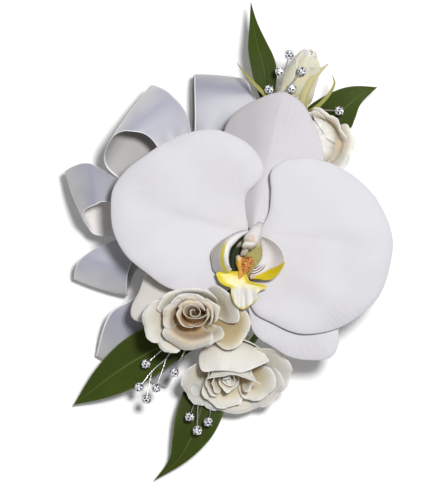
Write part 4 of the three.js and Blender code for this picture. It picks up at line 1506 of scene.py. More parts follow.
@dataclass
class Bud:
    """The closed bud: wrapped petals with a rolled tip, a hip and long pointed sepals."""

    place: Point = (9.8, 38.4, 17.0)
    lean: float = -76.0
    turn: float = -21.0
    wall: float = 0.3
    core: RoseHeart = RoseHeart(turns=1.8, inner=0.4, outer=2.2, foot=2.0, top=19.0)
    petals: tuple[RosePetal, ...] = (
        RosePetal(
            20, 84, ((1.6, 1), (4.2, 6), (4.2, 12), (3.2, 17.6), (2, 20), (1.2, 20.4)), drop=0.05, curl=0
        ),
        RosePetal(
            150, 84, ((1.8, 0.6), (4.8, 5), (4.8, 11), (3.8, 17), (2.6, 19.6), (1.8, 20)), drop=0.1, curl=0
        ),
        RosePetal(262, 84, ((2, 0.4), (5.4, 5), (5.2, 10), (4.2, 16), (3.2, 18.6), (2.8, 19)), drop=0.2),
        RosePetal(185, 70, ((2, 0.2), (6.2, 4), (6, 8), (4.9, 13), (4.2, 16.4), (4.1, 17)), drop=0.35),
        RosePetal(330, 62, ((2, 0.2), (5.6, 4), (5.6, 8), (4.8, 13), (4.4, 16), (4.6, 16.8)), drop=0.4),
    )
    sepals: tuple[Line, ...] = (
        ((9.5, 36.0, 21.5), (4.5, 40.5, 24.6), (-0.5, 45.5, 25.8), (-4.5, 50.0, 23.6), (-6.8, 53.2, 20.0)),
        ((14.2, 36.0, 22.5), (15.0, 42.5, 24.6), (17.3, 47.5, 24.0), (20.0, 50.5, 22.0), (22.8, 53.0, 20.0)),
        ((16.0, 37.0, 18.0), (19.5, 39.5, 19.5), (22.8, 43.0, 19.5), (24.6, 46.5, 18.5), (24.0, 49.2, 17.5)),
    )
    sepal_widths: tuple[float, ...] = (0.75, 1.5, 0.7)
    sepal_tones: tuple[int, ...] = (0, 1, 0)

    def matrix(self) -> Matrix:
        """Gives the bud's place and lie, in metres."""
        turn = Matrix.Rotation(math.radians(self.turn), 4, "Z")
        lean = Matrix.Rotation(math.radians(self.lean), 4, "X")
        return Matrix.Translation(Vector(self.place) * MM) @ turn @ lean

    def wraps(self) -> SheetMesh:
        """Makes the wrapped petals."""
        sheet = SheetMesh().add(self.core.spot, 18, 60)
        for petal in self.petals:
            sheet.add(petal.spot, 24, 26)
        return sheet.moved(self.matrix())

    def calyx(self) -> SheetMesh:
        """Makes the hip and the long sepals."""
        line = [UP * z for z in (-4.2, -2.0, 1.0)]
        stops = ((0.0, 1.1), (0.5, 2.6), (1.0, 2.5))
        sheet = SheetMesh().tube(line, lambda u: value_along(stops, u), 10, 18).moved(self.matrix())
        for points, half, tone in zip(self.sepals, self.sepal_widths, self.sepal_tones):
            path = vectors(points)

            def spot(u: float, v: float) -> Vector:
                """Places one point of a sepal along its path."""
                ahead = (spline(path, u + 0.02) - spline(path, u - 0.02)).normalized()
                side = ahead.cross(UP).normalized()
                width = half * (1 - 0.95 * u**1.8)
                return spline(path, u) + side * (width * v) + UP * (0.5 * width * v * v)

            sheet.add(spot, 24, 6, material=tone)
        return sheet

    def build(self, petals: Material, green: Sequence[Material]) -> None:
        """Makes and dresses the bud.

        Args:
            petals: Finish of its petals.
            green: Finishes of its hip and sepals, by index.
        """
        dress("rose_bud_petals", self.wraps().bm, [petals], Place(Slot.ROSE, "rose_bud_heart"), self.wall)
        dress("rose_bud_sepals", self.calyx().bm, green, Place(Slot.CALYX, "rose_bud_calyx"), self.wall)


# Leaves


@dataclass
class Leaf:
    """A pointed leaf blade between its two edges, folded a little along its midrib."""

    name: str
    body: Body
    left: tuple[Flat, ...]
    right: tuple[Flat, ...]
    heights: tuple[float, ...]
    fold: float = 0.2
    wall: float = 0.35
    groove: float = 0.3
    groove_width: float = 0.09
    ripple: float = 0.3

    def sheet(self) -> SheetMesh:
        """Makes the blade."""
        left, right = vectors(self.left), vectors(self.right)
        levels = [Vector((z, 0.0)) for z in self.heights]

        def spot(u: float, v: float) -> Vector:
            """Places one point of the blade."""
            a, b = spline(left, u), spline(right, u)
            half = (b - a).length / 2
            groove = self.groove * math.exp(-((v / self.groove_width) ** 2)) * (1 - u)
            wave = self.ripple * math.sin(7 * u + 2 * v) * abs(v) * (1 - u)
            x, y = a.lerp(b, (1 + v) / 2)
            fold = self.fold * half * abs(v) ** 1.3
            return Vector((x, y, spline(levels, u).x + fold - groove + wave))

        return SheetMesh().add(spot, 60, 24)

    def build(self, finish: Material) -> None:
        """Makes and dresses the blade with its finish."""
        place = Place(Slot.LEAF, f"{self.name}_blade", self.body)
        dress(f"{self.name}_surface", self.sheet().bm, [finish], place, self.wall)


# Ribbon bow


@dataclass
class RibbonLoop:
    """A loop of ribbon from the knot over its fold and back, given by lines across it."""

    number: int
    root: float
    ribs: tuple[Rib, ...]
    # Scales of the face's and the back's colour: painted light and shade for this loop.
    face_painted_shading: float = 1.0
    back_painted_shading: float = 1.0
    knot: Flat = (-21.0, 2.0)
    knot_reach: float = 3.2
    pinch: float = 2.0
    split: float = 0.6
    wall: float = 0.22
    crown: float = 0.5
    width: float = 22.0
    pleat: float = 0.7

    NEAR = 0.01
    STEPS = 80

    def edge(self, which: int) -> list[Vector]:
        """Gives the points of one edge.

        Args:
            which: 0 or 1.

        Returns:
            Points from the knot round the loop and back.
        """
        knot = Vector((*self.knot, self.root))

        def root(rib: Rib, height: float) -> Vector:
            """Places the gathered end beside the knot."""
            first, second = Vector(rib[0]), Vector(rib[1])
            away = ((first + second) / 2 - knot) * Vector((1, 1, 0))
            away.normalize()
            across = (second - first) * Vector((1, 1, 0))
            across = (across - away * across.dot(away)).normalized() * self.pinch
            return knot + away * self.knot_reach + across * (2 * which - 1) + UP * height

        inner = [Vector(rib[which]) for rib in self.ribs]
        return [root(self.ribs[0], self.split), *inner, root(self.ribs[-1], -self.split)]

    def length(self) -> float:
        """Gives the length along the middle of the loop, in millimetres."""
        first, second = self.edge(0), self.edge(1)
        shares = [i / self.STEPS for i in range(self.STEPS + 1)]
        line = [(spline(first, share) + spline(second, share)) / 2 for share in shares]
        return sum((b - a).length for a, b in zip(line, line[1:]))

    def sheet(self) -> SheetMesh:
        """Makes the loop."""
        first, second = self.edge(0), self.edge(1)

        def middle(u: float) -> Vector:
            """Gives twice the middle of the ribbon."""
            return spline(first, u) + spline(second, u)

        def spot(u: float, v: float) -> Vector:
            """Places one point of the ribbon."""
            a, b = spline(first, u), spline(second, u)
            out = (middle(u + self.NEAR) - middle(u - self.NEAR)).cross(b - a).normalized()
            pleat = self.pleat * math.cos(2.5 * math.pi * v) * smooth_step(0.22, 0.0, min(u, 1 - u))
            return a.lerp(b, (1 + v) / 2) - out * (self.crown * (1 - v * v) + pleat)

        return SheetMesh().add(spot, 96, 20)

    def satin(self) -> list[Material]:
        """Makes the finishes of the ribbon's back, its face and its edge, with painted sheen along the face
        and the loop's own painted light and shade on face and back.
        """
        back = (
            (0.0, (0.50, 0.48, 0.47)), (0.35, (0.50, 0.48, 0.465)), (0.6, (0.47, 0.455, 0.445)),
            (1.0, (0.50, 0.485, 0.475)),
        )
        # Painted sheen along the face: lighter at the fold in the middle, with a darker band before it.
        face = (
            (0.0, (0.48, 0.48, 0.52)), (0.2, (0.46, 0.46, 0.515)), (0.33, (0.39, 0.395, 0.475)),
            (0.43, (0.53, 0.525, 0.56)), (0.5, (0.61, 0.595, 0.60)), (0.62, (0.54, 0.53, 0.54)),
            (1.0, (0.50, 0.49, 0.49)),
        )
        edge = ((0.0, (0.8, 0.8, 0.81)), (1.0, (0.8, 0.8, 0.81)))
        return [
            SatinFinish(f"satin_back_{self.number}", back, self.back_painted_shading, roughness=0.6).build(),
            SatinFinish(f"satin_face_{self.number}", face, self.face_painted_shading).build(),
            SatinFinish(f"satin_edge_{self.number}", edge).build(),
        ]

    def build(self) -> None:
        place = Place(Slot.SATIN, f"ribbon_loop_{self.number}")
        piece = dress(f"satin_loop_{self.number}", self.sheet().bm, self.satin(), place, self.wall)
        piece.modifiers["wall"].material_offset = 1
        piece.modifiers["wall"].material_offset_rim = 2
        flat = (self.width * MM, self.length() * MM)


# Stone sprays


@dataclass
class Spray:
    """Wires from one root that each end in a faceted stone in a cup with claws."""

    name: str
    body: Body
    trunk: Line
    twigs: tuple[Line, ...]
    wire: float = 0.22
    stone: float = 1.5
    facets: int = 8
    claws: int = 4
    claw_radius: float = 0.2

    # Facet finishes by turns: painted highlight, painted dark reflection and grey metal.
    TONES = (0, 1, 0, 2, 0, 1)
    CONES = ((0.28, 1.0, 0.56, 0.5), (-0.36, 0.15, 1.0, 0.78))
    CLAW = ((1.0, -0.4), (1.03, 0.25), (0.8, 0.75))
    CUP = (-1.5, -0.9, -0.15)

    def wires(self) -> SheetMesh:
        """Makes the trunk and the twigs."""
        sheet = SheetMesh()
        for points in (self.trunk, *self.twigs):
            sheet.tube(vectors(points), lambda u: self.wire, 18, 8)
        return sheet

    def stones(self) -> bmesh.types.BMesh:
        """Makes the faceted stones, with painted bright highlights and dark reflections on the facets by
        turns.
        """
        bm = bmesh.new()
        radius = self.stone * MM
        for i, twig in enumerate(self.twigs):
            place = Matrix.Translation(Vector(twig[-1]) * MM) @ Matrix.Rotation(0.4 * i, 4, "Z")
            place = place @ Matrix.Rotation(0.22 * math.sin(2.1 * i + 1), 4, "X")
            before = set(bm.faces)
            for level, foot, top, depth in self.CONES:
                bmesh.ops.create_cone(
                    bm, cap_ends=True, segments=self.facets, radius1=foot * radius, radius2=top * radius,
                    depth=depth * radius, matrix=place @ Matrix.Translation((0, 0, level * radius)),
                )
            made = [face for face in bm.faces if face not in before]
            split = bmesh.ops.poke(bm, faces=made, offset=0.03 * radius)["faces"]
            for j, face in enumerate(split):
                face.material_index = self.TONES[(j * 5 + i * 3 + j // 8) % len(self.TONES)]
        return bm

    def cups(self) -> SheetMesh:
        """Makes a cup with claws under each stone."""
        sheet = SheetMesh()
        for twig in self.twigs:
            centre = Vector(twig[-1])
            line = [centre + UP * z for z in self.CUP]
            stops = ((0.0, 0.35), (0.4, 0.95), (1.0, self.stone * 0.98))
            sheet.tube(line, lambda u: value_along(stops, u), 8, 16)
            for k in range(self.claws):
                angle = 2 * math.pi * (k + 0.5) / self.claws
                out = Vector((math.cos(angle), math.sin(angle), 0))
                claw = [centre + out * (self.stone * reach) + UP * level for reach, level in self.CLAW]
                sheet.tube(claw, lambda u: self.claw_radius * (1 - 0.4 * u), 6, 6)
        return sheet

    def build(self, silver: Material, tones: Sequence[Material]) -> None:
        """Makes and dresses the spray.

        Args:
            silver: Finish of the wires and cups.
            tones: Finishes of the facets.
        """
        place = Place(Slot.STONE, self.name, self.body)
        dress(f"{self.name}_wires", self.wires().bm, [silver], place)
        dress(f"{self.name}_cups", self.cups().bm, [silver], place)
        dress(f"{self.name}_stones", self.stones(), tones, place)


# Bundle and wristlet


def corners(node: str) -> list[Vector]:
    """Gives the low and high corners of a node's box, in millimetres."""
    return [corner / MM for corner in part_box(node)]


@dataclass
class Bundle:
    """The bound stems under crepe tape, wound in overlapping turns."""

    turns: float = 9.0
    overlap: float = 0.22
    taper: float = 0.3
    taper_length: float = 4.0
    bumps: float = 0.12

    def build(self, tape: Material) -> None:
        """Makes and dresses the bundle.

        Args:
            tape: The crepe tape's finish.
        """
        low, high = corners("stem_bundle")
        centre = (low + high) / 2
        radius = (high.x - low.x) / 2 - self.overlap
        half = (high.y - low.y) / 2

        def spot(u: float, v: float) -> Vector:
            """Places one point of the wound tape."""
            angle = v * math.pi
            y = -half + 2 * half * u
            step = (self.turns * u + v / 2) % 1.0
            size = radius + self.overlap * (1 - step) + self.bumps * math.sin(3 * angle + 0.3 * y)
            size -= self.taper * smooth_step(half - self.taper_length, half, abs(y))
            return centre + Vector((size * math.cos(angle), y, size * math.sin(angle)))

        sheet = SheetMesh().add(spot, 160, 40)
        sheet.seal(set(), 0.02 * MM)
        dress("taped_bundle", sheet.bm, [tape], Place(Slot.TAPE, "stem_bundle"))


@dataclass
class Wristlet:
    """The elastic band: an upper and a lower strap, two folds and the sewn lap with its stitches."""

    wall: float = 1.0
    fold_inset: float = 0.6
    fold_turn: float = 1.06 * math.pi
    stitch_rows: tuple[float, ...] = (-6.0, 6.0)
    stitches: int = 9
    stitch_margin: float = 1.0
    stitch_shift: float = 1.2
    stitch_sink: float = 0.05
    stitch_radius: float = 0.2

    def strap(self, node: str, name: str, body: Body, elastic: Material) -> None:
        """Makes a flat strap over its node.

        Args:
            node: The node that it stands for.
            name: The piece's name.
            body: What it rides on.
            elastic: Its finish.
        """
        low, high = corners(node)
        size, middle = high - low, (low.z + high.z) / 2

        def spot(u: float, v: float) -> Vector:
            """Places one point of the strap."""
            return Vector((low.x + size.x * u, size.y / 2 * v, middle))

        dress(name, SheetMesh().add(spot, 60, 22).bm, [elastic], Place(Slot.ELASTIC, node, body), self.wall)

    def fold(self, side: Side, elastic: Material) -> None:
        """Makes a fold that joins the two straps and stretches with them.

        Args:
            side: Which end of the band.
            elastic: Its finish.
        """
        name = side.name.lower()
        low, high = corners(f"band_fold_{name}")
        root = high.x if side is Side.LEFT else low.x
        centre = (low.z + high.z) / 2
        radius = (high.z - low.z) / 2 - self.fold_inset

        def spot(u: float, v: float) -> Vector:
            """Places one point of the fold."""
            angle = self.fold_turn * (u - 0.5)
            x = root + side.value * radius * math.cos(angle)
            return Vector((x, (high.y - low.y) / 2 * v, centre + radius * math.sin(angle)))

        piece = linked(f"elastic_fold_{name}", SheetMesh().add(spot, 24, 22).bm, [elastic])
        thicken(piece, self.wall)
        start = (root * MM, 0.0, (centre + radius) * MM)
        end = (root * MM, 0.0, (centre - radius) * MM)
        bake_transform(piece, Body.CORSAGE.value, Body.BAND_LOWER.value, start=start, end=end)
        settle(piece, Place(Slot.ELASTIC, f"band_fold_{name}"))

    def lap_stitches(self, thread: Material) -> None:
        """Makes the zigzag stitches that hold the lap.

        Args:
            thread: The thread's finish.
        """
        low, high = corners("band_sewn_lap")
        top = high.z - self.stitch_sink
        step = (high.y - low.y - 2 * self.stitch_margin) / self.stitches
        sheet = SheetMesh()
        for row in self.stitch_rows:
            points = []
            for i in range(self.stitches + 1):
                shift = self.stitch_shift if i % 2 else -self.stitch_shift
                points.append(Vector((row + shift, low.y + self.stitch_margin + step * i, top)))
            sheet.tube(points, lambda u: self.stitch_radius, 90, 6)
        dress("lap_stitches", sheet.bm, [thread], Place(Slot.ELASTIC, body=Body.BAND_LOWER))

    def build(self, elastic: Material, thread: Material) -> None:
        """Makes and dresses the band.

        Args:
            elastic: The band's finish.
            thread: The stitches' finish.
        """
        self.strap("band_upper_strap", "elastic_upper", Body.CORSAGE, elastic)
        self.strap("band_lower_strap", "elastic_lower", Body.BAND_LOWER, elastic)
        self.strap("band_sewn_lap", "elastic_lap", Body.BAND_LOWER, elastic)
        for side in Side:
            self.fold(side, elastic)
        self.lap_stitches(thread)


# Studio


@dataclass
class Studio:
    """The pale floor, the soft light and the camera straight above."""

    view_centre: Flat = (-11.4, -7.0)
    view_height: float = 160.0
    distance: float = 1600.0
    focus_level: float = 27.0
    sensor: float = 36.0
    floor_size: float = 3.0
    floor_white: float = 0.96
    floor_glow: float = 0.05
    world_strength: float = 0.25
    key_strength: float = 9.2
    key_place: Point = (0.14, 0.15, 1.0)
    key_size: float = 0.14

    def floor(self) -> None:
        """Lays the white floor, which keeps the shadow."""
        bm = bmesh.new()
        bmesh.ops.create_grid(bm, x_segments=1, y_segments=1, size=self.floor_size)
        s = Shader("floor")
        s.base(Base_Color=(self.floor_white,) * 3, Roughness=1.0, Specular_IOR_Level=0.0)
        path = s.node("ShaderNodeLightPath", {})
        seen = s.math("MAXIMUM", path.outputs["Is Camera Ray"], path.outputs["Is Glossy Ray"])
        seen = s.math("MAXIMUM", seen, path.outputs["Is Transmission Ray"])
        s.base(Emission_Color=(1.0, 1.0, 1.0), Emission_Strength=s.math("MULTIPLY", seen, self.floor_glow))
        linked("floor", bm, [s.material])

    def world(self) -> None:
        """Sets a white, even sky."""
        world = bpy.data.worlds.new("sky")
        world.use_nodes = True
        sky = world.node_tree.nodes["Background"]
        sky.inputs["Color"].default_value = (1.0, 1.0, 1.0, 1.0)
        sky.inputs["Strength"].default_value = self.world_strength
        bpy.context.scene.world = world

    def key(self) -> None:
        """Hangs the soft lamp above and to the right."""
        lamp = bpy.data.lights.new("key", "AREA")
        lamp.shape = "DISK"
        lamp.size = self.key_size
        lamp.energy = self.key_strength
        holder = bpy.data.objects.new("key", lamp)
        holder.location = self.key_place
        holder.rotation_euler = Vector(self.key_place).to_track_quat("Z", "Y").to_euler()
        bpy.context.scene.collection.objects.link(holder)

    def camera(self) -> None:
        """Sets the camera straight above, with the photograph's frame."""
        lens = bpy.data.cameras.new("camera")
        lens.sensor_width = self.sensor
        lens.lens = self.sensor * self.distance / self.view_height
        lens.clip_end = 100.0
        holder = bpy.data.objects.new("camera", lens)
        holder.location = Vector((*self.view_centre, self.distance + self.focus_level)) * MM
        bpy.context.scene.collection.objects.link(holder)
        bpy.context.scene.camera = holder

    def build(self) -> None:
        """Sets up the whole studio."""
        bpy.context.scene.view_settings.view_transform = "Standard"
        self.floor()
        self.world()
        self.key()
        self.camera()


# The corsage


def front_rose() -> Rose:
    """Gives the open rose at the left, whose heart lies above the middle of its cup."""
    inner = ((1.8, 4.0), (3.7, 6.0), (4.3, 9.5), (4.2, 12.0), (4.8, 12.9), (5.2, 12.7))
    second = ((2.2, 3.5), (5.0, 5.5), (5.8, 9.2), (5.8, 12.0), (6.5, 13.0), (7.2, 12.6))
    cup = ((2.5, 2.5), (6.0, 5.0), (6.9, 9.0), (7.1, 12.0), (8.2, 12.9), (9.4, 12.3))
    front = ((2.5, 2.5), (6.4, 5.0), (7.4, 8.6), (7.6, 11.4), (8.8, 12.5), (10.8, 11.8), (12.2, 9.8))
    ring = (
        *(
            RosePetal(a, 70, inner, drop=0.15, tuck=0.5, ripple=0.25, shift=(-0.4, 2.8))
            for a in (85, 205, 320)
        ),
        RosePetal(40, 80, second, drop=0.2, tuck=0.6, ripple=0.35, shift=(-0.2, 2.0)),
        *(
            RosePetal(a, 52, cup, drop=0.2, tuck=0.7, ripple=0.4, shift=(-0.6, 1.4), finish=1)
            for a in (95, 165)
        ),
        RosePetal(24, 46, cup, drop=0.2, tuck=0.7, point=0.2, shift=(-0.2, 1.4), finish=1),
        RosePetal(258, 64, front, drop=0.2, tuck=0.5, ripple=0.4, point=0.1, shift=(-1.0, 0.6), finish=1),
    )
    outer = (
        RosePetal(30, 42, ((3, 1), (8.5, 3.5), (11.4, 7), (14.0, 9.2), (15.2, 9.4)), tuck=0.4),
        RosePetal(84, 46, ((3, 1), (7.5, 4), (9.4, 8), (11.2, 11.2), (12.6, 11.6)), tuck=0.4),
        RosePetal(126, 44, ((3, 1), (7.5, 4), (9.6, 8), (11.8, 11.0), (13.4, 11.2)), tuck=0.4),
        RosePetal(182, 42, ((3, 1), (8, 4), (11, 8), (14.8, 10.8), (16.6, 10.0)), ripple=0.5),
        RosePetal(220, 32, ((3, 1), (8, 4), (11, 7.4), (14.0, 9.4), (15.6, 8.4)), ripple=0.5),
        RosePetal(296, 40, ((3, 1), (7.5, 3.5), (9.2, 6.5), (10.6, 8.0), (11.4, 7.8)), ripple=0.4),
        # Finish 1 is the darker tan copy of the outer finish: painted shade on this petal.
        RosePetal(340, 38, ((3, 0.5), (8, 2.5), (12.5, 5.0), (16.2, 7.2), (18.0, 7.4)), finish=1),
    )
    heart = RoseHeart(turns=1.8, outer=3.4, top=12.0, first=60.0, wobble=0.3, shift=(0.1, 3.6))
    return Rose("rose_front", (-19.9, -27.8, 25.2), (8.0, -3.0), heart, ring, outer, size=(1.0, 0.84, 1.0))


def lower_rose() -> Rose:
    """Gives the rose below, which leans towards the foot of the corsage under a hooded back petal."""
    hood = ((2.5, 1.0), (9.6, 3.0), (11.2, 7.0), (10.2, 11.2), (7.8, 14.2), (6.2, 15.2))
    back = ((2.0, 2.0), (5.0, 6.0), (5.4, 11.0), (5.0, 14.4), (5.1, 15.4))
    wall = ((2.0, 3.0), (5.0, 5.5), (5.7, 9.5), (5.7, 12.6), (6.3, 13.4))
    left = ((2.5, 2.0), (6.6, 4.5), (7.6, 8.8), (7.8, 12.0), (8.6, 12.6))
    front = ((2.5, 2.0), (6.5, 4.2), (8.5, 7.5), (10.4, 10.4), (12.5, 11.5))
    vee = ((1.4, 4.0), (2.6, 7.0), (3.0, 10.0), (3.2, 12.4), (3.6, 13.6))
    ring = (
        RosePetal(91, 60, hood, drop=0.18, flare=3.6, tuck=1.5, ripple=0.3, curl=0.07, lean=0.7, finish=1),
        RosePetal(83, 78, back, drop=0.1, flare=4.4, tuck=-0.4, curl=0.0, finish=1),
        RosePetal(268, 84, vee, drop=0.1, ripple=0.15, point=0.32, shift=(-1.2, -0.4)),
        RosePetal(192, 48, wall, drop=0.2, tuck=0.5),
        RosePetal(348, 48, wall, drop=0.2, tuck=0.5, shift=(0.8, 0.0)),
        RosePetal(200, 46, left, drop=0.25, tuck=0.6, point=0.1),
        RosePetal(246, 50, front, drop=0.3, ripple=0.4),
        RosePetal(318, 46, front, drop=0.2, tuck=1.4, shift=(2.2, 1.0)),
    )
    outer = (
        RosePetal(92, 60, ((3, 0.5), (9.0, 2.0), (11.6, 4.5), (12.8, 6.5), (13.4, 7.0)), drop=0.25),
        RosePetal(206, 42, ((3, 0.5), (8.5, 3.5), (11.5, 7), (14.8, 9.2), (16.9, 9.2)), ripple=0.5),
        RosePetal(236, 44, ((3, 0.5), (8.5, 3.0), (11.0, 6), (14.0, 8.8), (15.8, 9.0)), ripple=0.5),
        RosePetal(284, 54, ((3, 0.5), (8.5, 3), (11, 6.5), (14.2, 9.2), (16.2, 9.4)), ripple=0.2, point=0),
        RosePetal(332, 42, ((3, 0.5), (8.5, 3.5), (11.5, 7), (15.0, 9.8), (17.6, 10.0)), ripple=0.5),
        RosePetal(8, 40, ((3, 0.5), (8.5, 3.5), (12.0, 7), (16.6, 9.6), (19.8, 10.2)), ripple=0.5),
    )
    heart = RoseHeart(turns=1.8, inner=0.3, outer=2.2, top=12.0, first=200.0, shift=(-1.2, -0.2))
    return Rose("rose_lower", (-8.6, -41.4, 12.8), (38.0, 0.0), heart, ring, outer)


def upper_rose() -> Rose:
    """Gives the half open rose behind the orchid, with broad soft folds on its right side."""
    wrap = ((2.0, 2.5), (4.2, 5.0), (4.6, 9.0), (4.0, 12.2), (3.0, 13.8))
    folded = ((2.8, 1.5), (6.4, 4.5), (7.4, 8.5), (7.0, 11.4), (5.8, 13.0), (4.4, 13.6))
    brim = ((3, 1), (7.6, 4), (8.8, 8), (9.8, 10.8), (10.8, 11.6))
    skirt = ((3, 1), (7.8, 4), (9.6, 7.6), (11.8, 10.4), (13.6, 10.6))
    hidden = (-2.6, -0.4)
    ring = (
        *(RosePetal(a, 84, wrap, drop=0.1, ripple=0.2, curl=0.1, shift=hidden) for a in (100, 220, 340)),
        *(
            RosePetal(a, 66, folded, drop=0.12, tuck=0.6, ripple=0.35, shift=hidden)
            for a in (8, 82, 180, 285)
        ),
        RosePetal(42, 50, folded, drop=0.2, ripple=0.4, tuck=0.7, shift=(-0.4, 0.6)),
    )
    outer = (
        RosePetal(50, 48, brim, drop=0.15, ripple=0.7, flare=1.8, point=0.02, tuck=0.6),
        *(RosePetal(a, 46, skirt, drop=0.3, ripple=0.6, tuck=0.7) for a in (350, 304)),
        *(RosePetal(a, 46, brim, ripple=0.6, tuck=0.7) for a in (110, 165, 235)),
    )
    heart = RoseHeart(turns=2.4, inner=0.3, outer=2.8, top=12.8, shift=hidden)
    size = (0.96, 0.96, 0.92)
    return Rose("rose_upper", (19.8, 27.2, 14.5), (-2.0, -10.0), heart, ring, outer, size)


def leaves() -> list[Leaf]:
    """Gives the four leaves by their edges from base to tip."""
    return [
        Leaf(
            "leaf_top", Body.LEAF_TOP,
            ((1.2, 40.5), (-0.6, 45.2), (-1.9, 49.9), (-2.8, 54.4), (-3.2, 58.6), (-2.7, 66.0), (-2.3, 73.2)),
            ((4.4, 40.5), (5.8, 46.2), (6.1, 51.0), (4.9, 55.6), (2.7, 60.1), (-0.3, 66.6), (-2.3, 73.2)),
            (19.4, 19.6, 19.4, 18.8, 17.8, 15.6, 13.0),
        ),
        Leaf(
            "leaf_right", Body.LEAF_RIGHT,
            ((13.4, 35.6), (16.6, 39.6), (20.5, 42.2), (24.4, 44.2), (28.6, 45.6), (33, 46), (38.6, 45.6)),
            ((15.4, 32.6), (20, 30.6), (25, 30.4), (29.6, 31.8), (31.4, 35.4), (33.4, 40.4), (38.6, 45.6)),
            (8.6, 9.4, 10.2, 10.8, 11.2, 11.4, 11.5),
        ),
        Leaf(
            "leaf_left", Body.LEAF_LEFT,
            (
                (-19, -36), (-25, -31.4), (-32, -30.6), (-38, -32.8), (-45, -37.4), (-52.6, -45.8),
                (-59.7, -57.3),
            ),
            (
                (-20, -38.6), (-25, -42), (-30, -45.6), (-35, -48.8), (-40.5, -51.8), (-49, -54.9),
                (-59.7, -57.3),
            ),
            (12.6, 13.6, 13.8, 12.8, 11.0, 8.0, 4.2),
        ),
        Leaf(
            "leaf_bottom", Body.LEAF_BOTTOM,
            (
                (-18.6, -46), (-23.2, -51), (-25.4, -56.6), (-26.8, -62), (-27.6, -68), (-28.8, -75),
                (-33.5, -81.8),
            ),
            (
                (-15.4, -46), (-11.4, -52), (-10.8, -58.2), (-12.8, -64), (-16.4, -69.4), (-23.2, -75.6),
                (-33.5, -81.8),
            ),
            (8.6, 8.9, 9.0, 8.9, 8.0, 6.1, 3.2), fold=0.1,
        ),
    ]


def ribbon_loops() -> list[RibbonLoop]:
    """Gives the five loops, by the heights of their roots, their lines across and the painted light and shade
    of their face and back.
    """
    return [
        RibbonLoop(1, 17.5, (
            ((-20.5, 31, 15), (-1.6, 37, 13.5)), ((-20.6, 46.1, 13), (-2.2, 44.8, 12.5)),
            ((-20.7, 49.8, 8.5), (-3.8, 48.2, 8)), ((-21.3, 46.1, 4.5), (-2.6, 44.2, 4.5)),
            ((-21.4, 35.2, 6), (-2.2, 37, 6)),
        ), 0.84),
        RibbonLoop(2, 23.6, (
            ((-32.8, 26.7, 27.5), (-21.8, 33, 22)), ((-41, 30.9, 29), (-27.5, 42.7, 21.5)),
            ((-46.9, 28.8, 25), (-33.9, 46.2, 16.5)), ((-49.5, 21.6, 18), (-33.9, 43.5, 12.5)),
            ((-44.4, 15.6, 17), (-26.6, 33.9, 13)),
        ), 1.04, 0.86),
        RibbonLoop(3, 19.9, (
            ((-46.7, 8, 23), (-44.8, 15.6, 17.5)), ((-52.2, 7.4, 24), (-54.4, 21, 17)),
            ((-56.2, 4.8, 20), (-61.8, 18.9, 12)), ((-55, 0.6, 14), (-60.2, 16.6, 8)),
            ((-49.3, -2.6, 13), (-50.6, 16, 9)),
        ), 0.88, 1.5),
        RibbonLoop(4, 17.5, (
            ((-37.8, -8, 15), (-46.8, -4.0, 12.5)), ((-41.6, -13.8, 15.5), (-57.0, -9.6, 12)),
            ((-42.2, -21.4, 8), (-59.6, -15.8, 6.5)), ((-41.3, -19.8, 4.5), (-57.8, -15.3, 4)),
            ((-38.4, -12.8, 11.5), (-49.3, -8.3, 10)),
        ), 1.04),
        RibbonLoop(5, 15.5, (
            ((-20.8, -31, 9.5), (-37.8, -20.2, 11.5)), ((-25, -43.5, 7.5), (-48, -27.5, 10)),
            ((-29.4, -51.2, 4), (-52.3, -40.3, 4)), ((-27.5, -48.6, 2), (-50.9, -38.4, 2)),
            ((-20.8, -32.6, 8.2), (-38.4, -21.8, 8.5)),
        ), 0.86),
    ]


def sprays() -> list[Spray]:
    """Gives the four stone sprays, each by its trunk and its twigs."""
    left, stem, bend = (-21.5, -36.2, 17), (-29.4, -41.8, 16), (-33.9, -45.8, 16)
    bottom, top, right = (-16.6, -50.6, 10.4), (6, 40.5, 27.5), (19, 38.2, 14.5)
    return [
        Spray("spray_left", Body.STONES_LEFT, ((-2.3, -24.6, 17.9), (-12, -33.5, 18.3), left), (
            (left, (-28.5, -37.6, 16.4), (-36, -43.7, 17)),
            (left, (-26.8, -37.8, 16.2), stem, bend, (-38.2, -51.2, 16.5)),
            (bend, (-34.6, -48.2, 16), (-35.9, -55.1, 16.5)), (stem, (-32.8, -51.4, 16.5)),
            (left, (-22.4, -37.8, 20.6), (-24.2, -40.8, 23.2), (-26.9, -46.4, 21.0)),
        )),
        Spray("spray_bottom", Body.STONES_BOTTOM, (
            (0, -24.6, 19.5), (-4, -31, 17.5), (-12, -42, 11.5), bottom,
        ), (
            (bottom, (-20.2, -56, 11.2), (-22, -60.8, 14.2)),
            (bottom, (-19.2, -57, 11.2), (-19.5, -65.2, 14.0)),
            (bottom, (-15.4, -55.5, 10.5), (-15.4, -59.6, 11.0), (-16, -62.4, 14.2)),
        )),
        Spray("spray_top", Body.STONES_TOP, ((-0.9, 24.6, 19.3), (3, 33, 25.5), top), (
            (top, (3.5, 44.3, 28)), (top, (6.9, 50.1, 29)), (top, (9.9, 55.4, 29.5)),
            (top, (14, 50.2, 29.5)), (top, (10.8, 44.6, 28)),
        )),
        Spray("spray_right", Body.STONES_RIGHT, ((1.8, 24.6, 15.2), (9, 30, 13.4), right), (
            (right, (26.2, 37.8, 17)),
        )),
    ]


